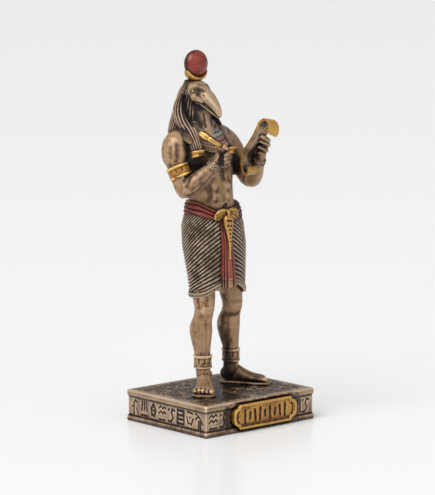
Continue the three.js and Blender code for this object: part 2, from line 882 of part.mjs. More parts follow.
// A level rectangle with small round corners, as points for an outline.
function roundedRectangle(width, depth, round) {
  const shape = new THREE.Shape();
  const [x, y] = [width / 2, depth / 2];
  shape.moveTo(-x + round, -y);
  shape.lineTo(x - round, -y);
  shape.quadraticCurveTo(x, -y, x, -y + round);
  shape.lineTo(x, y - round);
  shape.quadraticCurveTo(x, y, x - round, y);
  shape.lineTo(-x + round, y);
  shape.quadraticCurveTo(-x, y, -x, y - round);
  shape.lineTo(-x, -y + round);
  shape.quadraticCurveTo(-x, -y, -x + round, -y);
  return shape;
}

// One course of the plinth, with its upper and lower arrises rounded over.
function course(width, depth, low, high, round) {
  const bevel = Math.min(round, (high - low) / 2 - 0.05);
  const shape = roundedRectangle(width - 2 * bevel, depth - 2 * bevel, MOULDING_ROUND);
  const geometry = new THREE.ExtrudeGeometry(shape, {
    depth: high - low - 2 * bevel,
    curveSegments: 2,
    bevelSize: bevel,
    bevelThickness: bevel,
    bevelSegments: 1,
  });
  geometry.translate(0, 0, low + bevel);
  return solid(geometry);
}

function block(width, depth, low, high) {
  const geometry = new THREE.BoxGeometry(width, depth, high - low);
  geometry.translate(0, 0, (low + high) / 2);
  return solid(geometry);
}

// A plain bar that cuts one stroke, centred on a place of a panel that looks along -Y.
function stroke(x, z, width, height, lean = 0) {
  const geometry = new THREE.BoxGeometry(width, STROKE_DEPTH * 2, height);
  geometry.rotateY(THREE.MathUtils.degToRad(lean));
  geometry.translate(x, 0, z);
  return geometry;
}

// The frieze's marks: bars, dots and boxes that spell nothing, one group to each pitch.
function marks(length, tall, pitch) {
  const cuts = [];
  const count = Math.floor(length / pitch);
  const high = tall * 0.72;
  for (let n = 0; n < count; n++) {
    const x = (n - (count - 1) / 2) * pitch;
    const kind = n % 4;
    if (kind === 0) {
      cuts.push(stroke(x - 0.6, 0, STROKE_WIDTH, high));
      cuts.push(stroke(x + 0.5, 0.15 * high, STROKE_WIDTH, high * 0.6));
    } else if (kind === 1) {
      cuts.push(stroke(x, 0.3 * high, MARK_WIDTH, STROKE_WIDTH));
      cuts.push(stroke(x, -0.3 * high, NARROW_MARK_WIDTH, STROKE_WIDTH));
    } else if (kind === 2) {
      cuts.push(stroke(x - 0.2, 0, STROKE_WIDTH, high, 35));
    } else {
      cuts.push(stroke(x, 0, NARROW_MARK_WIDTH, high * 0.7));
    }
  }
  return cuts;
}

const friezeLow = FOOT_THICKNESS + FRIEZE_GROOVE;
const friezeHigh = PLINTH_HEIGHT - SLAB_THICKNESS - FRIEZE_GROOVE;
const plateMiddle = PLINTH_HEIGHT / 2;

// The plate's outline in X and Z: straight edges above and below, and ends that step in to a round.
function plateOutline(grow) {
  const [x, z] = [PLATE_WIDTH / 2 + grow, PLATE_HEIGHT / 2 + grow];
  const round = PLATE_END_ROUND;
  const shape = new THREE.Shape();
  shape.moveTo(-x + round, -z);
  shape.lineTo(x - round, -z);
  shape.lineTo(x - round * 0.72, -z + round * 0.38);
  shape.quadraticCurveTo(x, -z + round * 0.5, x, 0);
  shape.quadraticCurveTo(x, z - round * 0.5, x - round * 0.72, z - round * 0.38);
  shape.lineTo(x - round, z);
  shape.lineTo(-x + round, z);
  shape.lineTo(-x + round * 0.72, z - round * 0.38);
  shape.quadraticCurveTo(-x, z - round * 0.5, -x, 0);
  shape.quadraticCurveTo(-x, -z + round * 0.5, -x + round * 0.72, -z + round * 0.38);
  shape.closePath();
  return shape;
}

// An outline drawn in X and Z, given thickness along -Y, starting at the plane y = back.
function facingSlab(shape, thickness, back) {
  const geometry = new THREE.ExtrudeGeometry(shape, {
    depth: thickness,
    bevelEnabled: false,
    curveSegments: 3,
  });
  geometry.rotateX(Math.PI / 2);
  geometry.translate(PLATE_ASIDE, back, plateMiddle);
  return geometry;
}

const plateBack = -(PLINTH_DEPTH / 2 + PLATE_PROUD - PLATE_THICKNESS);

function plinth() {
  const slabLow = PLINTH_HEIGHT - SLAB_THICKNESS;
  const inset = 2 * FRIEZE_DEPTH;
  const core = inset + 2 * FRIEZE_GROOVE;
  const pieces = [
    course(PLINTH_WIDTH, PLINTH_DEPTH, 0, FOOT_THICKNESS, MOULDING_ROUND),
    course(PLINTH_WIDTH, PLINTH_DEPTH, slabLow, PLINTH_HEIGHT, MOULDING_ROUND),
    block(PLINTH_WIDTH - inset, PLINTH_DEPTH - inset, friezeLow, friezeHigh),
    block(
      PLINTH_WIDTH - core,
      PLINTH_DEPTH - core,
      FOOT_THICKNESS / 2,
      PLINTH_HEIGHT - SLAB_THICKNESS / 2,
    ),
  ];
  const tools = [];
  const tall = friezeHigh - friezeLow;
  for (let face = 0; face < 4; face++) {
    const long = face % 2 === 0;
    const length = (long ? PLINTH_WIDTH : PLINTH_DEPTH) - inset - 2 * FRIEZE_MARGIN;
    const out = (long ? PLINTH_DEPTH : PLINTH_WIDTH) / 2 - FRIEZE_DEPTH;
    for (const geometry of marks(length, tall, face === 2 ? 2 * MARK_PITCH : MARK_PITCH)) {
      const extent = new THREE.Box3().setFromBufferAttribute(geometry.getAttribute("position"));
      const [low, high] = [extent.min.x - PLATE_ASIDE, extent.max.x - PLATE_ASIDE];
      const nearest = Math.min(Math.abs(low), Math.abs(high));
      const behindPlate = nearest < PLATE_WIDTH / 2 + 2 * POCKET_CLEARANCE;
      if (face === 0 && behindPlate) continue;
      geometry.translate(0, -out, (friezeLow + friezeHigh) / 2);
      geometry.rotateZ((face * Math.PI) / 2);
      tools.push(solid(geometry));
    }
  }
  tools.push(solid(facingSlab(plateOutline(POCKET_CLEARANCE), PLATE_THICKNESS + 2, plateBack)));
  return geometryOf(cut(join(pieces), tools));
}

function nameplate() {
  const plate = solid(facingSlab(plateOutline(0), PLATE_THICKNESS, plateBack));
  const front = plateBack - PLATE_THICKNESS;
  const field = solid(facingSlab(plateOutline(-PLATE_RIM), 2, front + PLATE_SUNK));
  const strokes = [];
  const span = PLATE_WIDTH - 2 * PLATE_END_ROUND - 2 * NAME_MARGIN;
  for (let n = 0; n < NAME_STROKES; n++) {
    const x = PLATE_ASIDE + (n / (NAME_STROKES - 1) - 0.5) * span;
    const upright = n % 2 === 0;
    const height = upright ? TALL_STROKE : SHORT_STROKE;
    const lean = upright ? 0 : STROKE_LEAN * (2 - (n % 4));
    const geometry = stroke(x, plateMiddle, STROKE_WIDTH, height, lean);
    geometry.translate(0, front + PLATE_SUNK, 0);
    strokes.push(solid(geometry));
  }
  return geometryOf(cut(plate.subtract(field), strokes));
}

// Materials: bronze-powder resin for the castings, and gilding on the plate.
const castBronze = new THREE.MeshStandardMaterial({
  color: 0x9c7f66,
  roughness: 0.42,
  metalness: 0.55,
});
const gilding = new THREE.MeshStandardMaterial({
  color: 0xc9963a,
  roughness: 0.38,
  metalness: 0.7,
});

function piece(name, geometry, material) {
  const mesh = new THREE.Mesh(geometry, material);
  mesh.name = name;
  return mesh;
}

const model = new THREE.Group();
const standingFigure = piece("figure", figure(), castBronze);
standingFigure.position.z = PLINTH_HEIGHT;
model.add(piece("plinth", plinth(), castBronze));
model.add(piece("nameplate", nameplate(), gilding));
model.add(standingFigure);

export default model;
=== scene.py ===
import math

import bmesh
import bpy
import numpy as np
from mathutils import Matrix, Vector, noise
from mathutils.bvhtree import BVHTree


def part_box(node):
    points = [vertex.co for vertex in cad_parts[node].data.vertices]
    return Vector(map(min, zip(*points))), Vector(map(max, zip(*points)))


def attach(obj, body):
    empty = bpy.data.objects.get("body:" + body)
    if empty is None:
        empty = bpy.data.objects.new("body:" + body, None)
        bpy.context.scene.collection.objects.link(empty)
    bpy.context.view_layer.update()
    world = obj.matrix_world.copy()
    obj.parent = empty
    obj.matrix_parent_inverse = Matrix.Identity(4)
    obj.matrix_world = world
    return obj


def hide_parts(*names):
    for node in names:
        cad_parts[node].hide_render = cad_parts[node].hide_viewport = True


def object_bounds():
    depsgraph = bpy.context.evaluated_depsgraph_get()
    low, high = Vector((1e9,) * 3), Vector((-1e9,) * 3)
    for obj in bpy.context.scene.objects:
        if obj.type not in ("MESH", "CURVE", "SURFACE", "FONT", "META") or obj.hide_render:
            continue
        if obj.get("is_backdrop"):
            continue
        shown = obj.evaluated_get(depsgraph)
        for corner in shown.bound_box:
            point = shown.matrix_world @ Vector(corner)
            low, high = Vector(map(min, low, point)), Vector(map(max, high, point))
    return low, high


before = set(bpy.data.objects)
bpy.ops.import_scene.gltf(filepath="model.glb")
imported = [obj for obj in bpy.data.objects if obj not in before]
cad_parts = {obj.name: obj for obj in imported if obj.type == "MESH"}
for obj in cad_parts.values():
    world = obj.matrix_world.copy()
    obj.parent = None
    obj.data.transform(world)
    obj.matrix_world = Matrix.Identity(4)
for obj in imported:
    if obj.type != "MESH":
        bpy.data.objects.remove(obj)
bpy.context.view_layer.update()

# The camera
# It looks down a little from the figure's front right, with a long lens, so that two sides of the plinth
# show and the head is seen nearly from its side.
MM = 0.001
VIEW_AZIMUTH = math.radians(-41.8)
VIEW_ELEVATION = math.radians(8.48)
VIEW_DISTANCE = 640 * MM
VIEW_TARGET = Vector((-0.97 * MM, 0, 40.75 * MM))
LENS_LENGTH = 200.8

back = Vector(
    (
        math.sin(VIEW_AZIMUTH) * math.cos(VIEW_ELEVATION),
        -math.cos(VIEW_AZIMUTH) * math.cos(VIEW_ELEVATION),
        math.sin(VIEW_ELEVATION),
    )
)
bpy.ops.object.camera_add(
    location=VIEW_TARGET + back * VIEW_DISTANCE,
    rotation=(-back).to_track_quat("-Z", "Y").to_euler(),
)
camera = bpy.context.object
camera.data.lens = LENS_LENGTH
camera.data.sensor_width = 36
camera.data.clip_start = 0.01
camera.data.clip_end = 10
bpy.context.scene.camera = camera

# Body and arms
# The bare skin of the figure: cold-cast resin, polyester filled with bronze powder, poured in a rubber
# mould. Chest, belly, back and arms are one casting, so their forms are joined and skinned as one.
SOLE_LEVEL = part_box("figure")[0].z
CHEST_X = -1.7
SKIN_GRAIN = 0.2
GROOVE_WASH = 1.7


def clear_selection():
    """Leaves nothing selected, in object mode."""
    if bpy.context.object and bpy.context.object.mode != "OBJECT":
        bpy.ops.object.mode_set(mode="OBJECT")
    bpy.ops.object.select_all(action="DESELECT")


def select_only(*pieces):
    """Selects these pieces and works on the first."""
    clear_selection()
    for piece in pieces:
        piece.select_set(True)
    bpy.context.view_layer.objects.active = pieces[0]


def spot(x, y, z):
    """A place on the figure, in millimetres above its soles, as a place in the frame."""
    return Vector((x * MM, y * MM, z * MM + SOLE_LEVEL))


def lump(place, radii, turn=(0, 0, 0)):
    """A swelling: a ball drawn out to three radii in millimetres and turned in degrees."""
    clear_selection()
    bpy.ops.mesh.primitive_uv_sphere_add(
        segments=24,
        ring_count=14,
        radius=MM,
        location=spot(*place),
        rotation=[math.radians(angle) for angle in turn],
        scale=radii,
    )
    bpy.ops.object.transform_apply(location=True, rotation=True, scale=True)
    return bpy.context.object


def filled_rows(rows, steps):
    """The given rows with more between them, along a smooth curve through them."""
    rows = np.array(rows, float)
    ends = np.vstack([2 * rows[0] - rows[1], rows, 2 * rows[-1] - rows[-2]])
    fine = []
    for i in range(len(rows) - 1):
        a, b, c, d = ends[i : i + 4]
        for t in np.arange(steps) / steps:
            bend = (2 * a - 5 * b + 4 * c - d) * t**2 + (3 * b - a - 3 * c + d) * t**3
            fine.append(b + 0.5 * ((c - a) * t + bend))
    fine.append(rows[-1])
    return np.array(fine)


def limb(rows, facing=(0, -1, 0), level=False, sides=20, steps=3, carve=None, square=2.0):
    """A form drawn out of a disc, one ring after another. Each row is x, y, z, half width and half
    thickness in millimetres, and the thickness lies towards facing. The rings lie level, or else square
    to the limb. carve gives the relief on it, whose grooves keep the wash, and a square over 2 makes the
    rings squarer."""
    fine = filled_rows(rows, steps)
    facing = Vector(facing)
    clear_selection()
    bpy.ops.mesh.primitive_circle_add(
        vertices=sides, radius=MM, fill_type="NGON", enter_editmode=True
    )
    form = bpy.context.object
    drawn = bmesh.from_edit_mesh(form.data)
    turns = drawn.verts.layers.int.new("turn")
    stains = drawn.verts.layers.float.new("wash_and_shade")
    for number, vert in enumerate(drawn.verts):
        vert[turns] = number
    for number, (x, y, z, wide, thick) in enumerate(fine):
        if number:
            bpy.ops.mesh.extrude_region_move()
            drawn = bmesh.from_edit_mesh(form.data)
            turns = drawn.verts.layers.int["turn"]
            stains = drawn.verts.layers.float["wash_and_shade"]
        along = Vector((0, 0, 1))
        if not level:
            ahead = fine[min(number + 1, len(fine) - 1)][:3]
            behind = fine[max(number - 1, 0)][:3]
            along = Vector(ahead - behind).normalized()
        across = along.cross(facing).normalized()
        out = across.cross(along)
        centre = spot(x, y, z)
        for vert in drawn.verts:
            if not vert.select:
                continue
            angle = 2 * math.pi * vert[turns] / sides
            reach_x, reach_y = math.sin(angle), math.cos(angle)
            if square > 2:
                reach_x = math.copysign(abs(reach_x) ** (2 / square), reach_x)
                reach_y = math.copysign(abs(reach_y) ** (2 / square), reach_y)
            relief = carve(vert[turns] / sides, number / (len(fine) - 1)) if carve else 0
            vert[stains] = min(1.0, max(0.0, -GROOVE_WASH * relief))
            vert.co = centre + across * (reach_x * (wide + relief) * MM)
            vert.co += out * (reach_y * (thick + relief) * MM)
    bpy.ops.mesh.select_all(action="SELECT")
    bpy.ops.mesh.normals_make_consistent(inside=False)
    bpy.ops.object.mode_set(mode="OBJECT")
    return form


def joined(name, forms):
    """One object of several forms."""
    select_only(*forms)
    if len(forms) > 1:
        bpy.ops.object.join()
    piece = bpy.context.object
    piece.name = name
    return piece


def cast(name, forms, grain=SKIN_GRAIN, rounds=4):
    """A casting: overlapping forms skinned over as one surface, in faces of the grain's size in
    millimetres, and rubbed smooth for some rounds."""
    piece = joined(name, forms)
    skin = piece.modifiers.new("skin", "REMESH")
    skin.mode = "VOXEL"
    skin.voxel_size = grain * MM
    bpy.ops.object.modifier_apply(modifier=skin.name)
    rubbed = piece.modifiers.new("rubbed", "SMOOTH")
    rubbed.factor = 0.5
    rubbed.iterations = rounds
    bpy.ops.object.modifier_apply(modifier=rubbed.name)
    bpy.ops.object.shade_smooth()
    return piece


def surface(piece):
    """The places and normals of a piece's vertices, one row each."""
    count = len(piece.data.vertices) * 3
    places, normals = np.empty(count, np.float32), np.empty(count, np.float32)
    piece.data.vertices.foreach_get("co", places)
    piece.data.vertices.foreach_get("normal", normals)
    return places.reshape(-1, 3), normals.reshape(-1, 3)


def set_values(piece, name, values):
    """Writes one number for each vertex of a piece."""
    kept = piece.data.attributes.get(name) or piece.data.attributes.new(name, "FLOAT", "POINT")
    kept.data.foreach_set("value", np.asarray(values, np.float32))


def get_values(piece, name):
    """Reads a number for each vertex of a piece, all 0 where none was written."""
    values = np.zeros(len(piece.data.vertices), np.float32)
    if name in piece.data.attributes:
        piece.data.attributes[name].data.foreach_get("value", values)
    return values


def press(piece, strokes, reach=1.6):
    """Works relief into a piece as with a modelling tool. Each stroke is a line of places, its half
    width and depth in millimetres, and how dark it leaves the place, from 0 to 1; that darkness stands
    for wash in some strokes and for painted shade in others. A depth below zero raises a ridge. A
    stroke works on the skin that lies within reach over or under its line."""
    places, normals = surface(piece)
    moved = places.copy()
    wash_and_shade = get_values(piece, "wash_and_shade")
    for line, width, depth, wash in strokes:
        line = [np.array(spot(*place)) for place in line]
        nearest = np.full(len(places), 1.0)
        for start, end in zip(line[:-1], line[1:]):
            step = end - start
            share = np.clip((places - start) @ step / (step @ step), 0, 1)
            gap = places - start - share[:, None] * step
            over = (gap * normals).sum(1)
            aside = np.sqrt(np.maximum((gap**2).sum(1) - over**2, 0))
            nearest = np.minimum(nearest, np.where(np.abs(over) < reach * MM, aside, 1.0))
        near = np.exp(-((nearest / (width * MM)) ** 2))
        moved -= normals * (depth * MM * near)[:, None]
        wash_and_shade = np.maximum(wash_and_shade, wash * near)
    piece.data.vertices.foreach_set("co", moved.astype(np.float32).ravel())
    piece.data.update()
    set_values(piece, "wash_and_shade", wash_and_shade)


def linear(hex_colour):
    """An sRGB hex colour as linear red, green, blue and alpha."""
    channels = [int(hex_colour[i : i + 2], 16) / 255 for i in (0, 2, 4)]
    bent = [c / 12.92 if c <= 0.04045 else ((c + 0.055) / 1.055) ** 2.4 for c in channels]
    return (*bent, 1.0)


def add_node(tree, kind, settings=None, links=None):
    """Adds a shader node. Settings are its own properties or the values of its inputs, and links are
    inputs with the output that feeds each."""
    node = tree.nodes.new("ShaderNode" + kind)
    for name, value in (settings or {}).items():
        if isinstance(name, str) and hasattr(node, name):
            setattr(node, name, value)
        else:
            node.inputs[name].default_value = value
    for name, output in (links or {}).items():
        tree.links.new(output, node.inputs[name])
    return node


BLOT_WIDTH = 1.3
PATCH_WIDTH = 5
POWDER_GRAIN = 0.3
GRAIN_HEIGHT = 0.03


def washed_resin(
    name, tone, worn, metal, roughness, patches=0.7, brown="4c301a", deep="140c07", dried=0.6
):
    """A coat on the resin: its tone, rubbed to the worn colour on the edges, with a thin brown wash
    that thickens to nearly black in the hollows, and the painted shade written into the piece's hollow
    attribute laid on in the same way. Patches is how uneven the tone is, and dried is the roughness of
    the thick wash."""
    material = bpy.data.materials.new(name)
    material.use_nodes = True
    tree = material.node_tree
    shader = tree.nodes["Principled BSDF"]
    place = add_node(tree, "TexCoord").outputs["Object"]
    hollow = add_node(tree, "Attribute", {"attribute_name": "hollow"}).outputs["Fac"]
    edge = add_node(tree, "Attribute", {"attribute_name": "edge"}).outputs["Fac"]
    # Brushed-on wash dries in blots a little over a millimetre wide.
    blots = add_node(
        tree, "TexNoise", {"Scale": 1 / (BLOT_WIDTH * MM), "Detail": 4.0}, {"Vector": place}
    ).outputs["Fac"]
    # The powder settles in patches some five millimetres wide.
    cloud = add_node(
        tree, "TexNoise", {"Scale": 1 / (PATCH_WIDTH * MM), "Detail": 3.0}, {"Vector": place}
    ).outputs["Fac"]
    # The powder's grain is under a twentieth of a millimetre, so it is drawn coarser to show at all.
    grain = add_node(
        tree, "TexNoise", {"Scale": 1 / (POWDER_GRAIN * MM), "Detail": 3.0}, {"Vector": place}
    ).outputs["Fac"]
    blotted = add_node(
        tree, "MapRange", {"To Min": -0.17, "To Max": 0.17, "From Min": 0.3, "From Max": 0.7},
        {"Value": blots},
    ).outputs["Result"]
    darkening = add_node(tree, "Math", {"operation": "ADD"}, {0: hollow, 1: blotted}).outputs[0]
    smooth = {"interpolation_type": "SMOOTHSTEP"}
    thin = add_node(
        tree, "MapRange", {**smooth, "From Min": 0.08, "From Max": 0.5, "To Max": 0.85},
        {"Value": darkening},
    ).outputs["Result"]
    thick = add_node(
        tree, "MapRange", {**smooth, "From Min": 0.38, "From Max": 0.85}, {"Value": darkening}
    ).outputs["Result"]
    patch = add_node(
        tree, "MapRange", {"From Min": 0.4, "From Max": 0.68, "To Max": patches}, {"Value": cloud}
    ).outputs["Result"]
    specks = add_node(
        tree, "MapRange", {"From Min": 0.5, "From Max": 0.72, "To Max": 0.36}, {"Value": grain}
    ).outputs["Result"]
    # Inputs 6 and 7 of a colour mix are its two colours, and output 2 is the result.
    mix = {"data_type": "RGBA"}
    uneven = add_node(
        tree, "Mix", {**mix, 6: linear(tone), 7: linear(brown)}, {0: patch}
    ).outputs[2]
    rubbed = add_node(tree, "Mix", {**mix, 7: linear(worn)}, {0: edge, 6: uneven}).outputs[2]
    speckled = add_node(tree, "Mix", {**mix, 7: linear(brown)}, {0: specks, 6: rubbed}).outputs[2]
    darkened = add_node(tree, "Mix", {**mix, 7: linear(brown)}, {0: thin, 6: speckled}).outputs[2]
    colour = add_node(tree, "Mix", {**mix, 7: linear(deep)}, {0: thick, 6: darkened}).outputs[2]
    dull = add_node(
        tree, "MapRange", {"To Min": roughness, "To Max": dried}, {"Value": thick}
    ).outputs["Result"]
    bump = add_node(
        tree, "Bump", {"Strength": 0.35, "Distance": GRAIN_HEIGHT * MM}, {"Height": grain}
    ).outputs["Normal"]
    shader.inputs["Metallic"].default_value = metal
    tree.links.new(colour, shader.inputs["Base Color"])
    tree.links.new(dull, shader.inputs["Roughness"])
    tree.links.new(bump, shader.inputs["Normal"])
    return material


finished = []


def finish_piece(piece, material, node="figure"):
    """Gives a piece its material, hangs it on the root body and hides the CAD part it is modelled on."""
    finished.append(piece)
    piece.data.materials.clear()
    piece.data.materials.append(material)
    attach(piece, "root")
    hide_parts(node)


# Cold-cast bronze: a half-metallic tan where the powder is rubbed bright, with dark brown wash in the
# hollows.
bare_bronze = washed_resin("cold-cast bronze", "9b7856", "d9b894", 0.34, 0.42, patches=0.5)

torso_rows = [
    [0.1, 2.9, 36, 6.4, 4.4],
    [0.0, 2.9, 40, 6.2, 4.5],
    [-0.2, 3.0, 44, 5.8, 4.3],
    [-0.6, 3.3, 47.5, 6.1, 4.5],
    [-1.1, 3.7, 51, 7.0, 4.8],
    [-1.5, 4.2, 54.5, 7.8, 5.1],
    [-1.7, 4.6, 57.5, 7.7, 4.7],
    [-1.8, 5.0, 59.8, 5.8, 3.8],
    [-1.9, 5.2, 61.6, 3.3, 2.9],
]
body_forms = [limb(torso_rows, level=True, sides=40)]
for side in (-1, 1):
    # Chest, four rows of belly muscle, the broad muscle of the back and a shoulder blade.
    body_forms += [
        lump((CHEST_X + side * 3.3, 1.1, 54.4), (3.6, 1.8, 2.7), (0, 0, side * 16)),
        lump((-0.95 + side * 1.5, -0.1, 50.2), (1.7, 0.95, 1.5)),
        lump((-0.7 + side * 1.5, -0.3, 47.8), (1.8, 0.95, 1.5)),
        lump((-0.4 + side * 1.4, -0.4, 45.4), (1.7, 0.95, 1.5)),
        lump((-0.15 + side * 1.0, -0.3, 43.2), (1.7, 0.95, 1.5)),
        lump((CHEST_X + side * 4.6, 6.0, 53.8), (3.1, 2.35, 5.6), (-13, 0, -side * 20)),
        lump((CHEST_X + side * 3.4, 7.6, 57.2), (2.3, 1.4, 2.6), (0, 0, -side * 12)),
    ]
right_upper_arm = [
    [-7.8, 5.2, 58.8, 2.2, 2.4],
    [-9.5, 4.9, 57.7, 2.9, 3.1],
    [-10.1, 4.3, 55.2, 3.1, 3.3],
    [-9.95, 3.8, 53.4, 2.6, 2.8],
    [-10.0, 3.3, 51.8, 2.2, 2.35],
    [-9.9, 2.4, 49.2, 2.1, 2.15],
    [-9.7, 1.7, 47.2, 1.9, 1.9],
    [-9.5, 1.2, 45.6, 1.1, 1.1],
]
right_forearm = [
    [-9.8, 1.8, 46.6, 1.6, 1.6],
    [-9.2, 0.6, 47.8, 2.15, 2.15],
    [-7.8, -1.1, 49.7, 2.05, 2.05],
    [-6.4, -2.5, 51.6, 1.6, 1.6],
    [-5.1, -3.5, 53.1, 1.25, 1.3],
]
left_upper_arm = [
    [4.4, 5.4, 58.6, 2.2, 2.4],
    [5.8, 5.2, 57.6, 2.8, 3.0],
    [7.2, 4.4, 55.0, 3.0, 3.2],
    [8.7, 3.2, 52.0, 2.4, 2.5],
    [9.7, 2.1, 49.8, 2.25, 2.25],
    [10.2, 1.2, 48.0, 2.0, 2.0],
    [10.3, 0.8, 46.7, 1.1, 1.1],
]
left_forearm = [
    [10.4, 1.4, 47.8, 1.6, 1.6],
    [10.1, 0.2, 48.6, 2.1, 2.1],
    [9.5, -1.6, 50.2, 2.0, 2.0],
    [8.75, -3.2, 51.9, 1.45, 1.5],
    [8.25, -4.4, 53.5, 1.15, 1.25],
]
body_forms += [
    limb(right_upper_arm, sides=24),
    limb(right_forearm, (0.2, -1, 0.3), sides=24),
    limb(left_upper_arm, sides=24),
    limb(left_forearm, (0.2, -1, 0.3), sides=24),
    # Upper arm and forearm muscles, three on the right and three on the left.
    lump((-10.4, 1.9, 49.6), (1.3, 1.3, 2.2), (18, 0, 0)),
    lump((-10.0, 3.8, 50.6), (1.4, 1.1, 2.2), (16, 0, 0)),
    lump((-9.6, -0.6, 48.2), (1.1, 1.2, 2.2), (40, 30, 0)),
    lump((9.3, 3.4, 50.7), (1.4, 1.1, 2.2), (20, -18, 0)),
    lump((9.2, 1.0, 50.2), (1.3, 1.3, 2.2), (20, -18, 0)),
    lump((10.3, -0.9, 49.0), (1.1, 1.3, 2.0), (48, -10, 0)),
]
body = cast("body", body_forms, rounds=7)
NAVEL = (0.2, -1.4, 43.0)
navel_ring = [
    (NAVEL[0] + 0.62 * math.sin(s), NAVEL[1], NAVEL[2] + 0.42 * math.cos(s) + 0.3 * math.sin(s))
    for s in np.linspace(-0.6, 2 * math.pi - 1.4, 12)
]
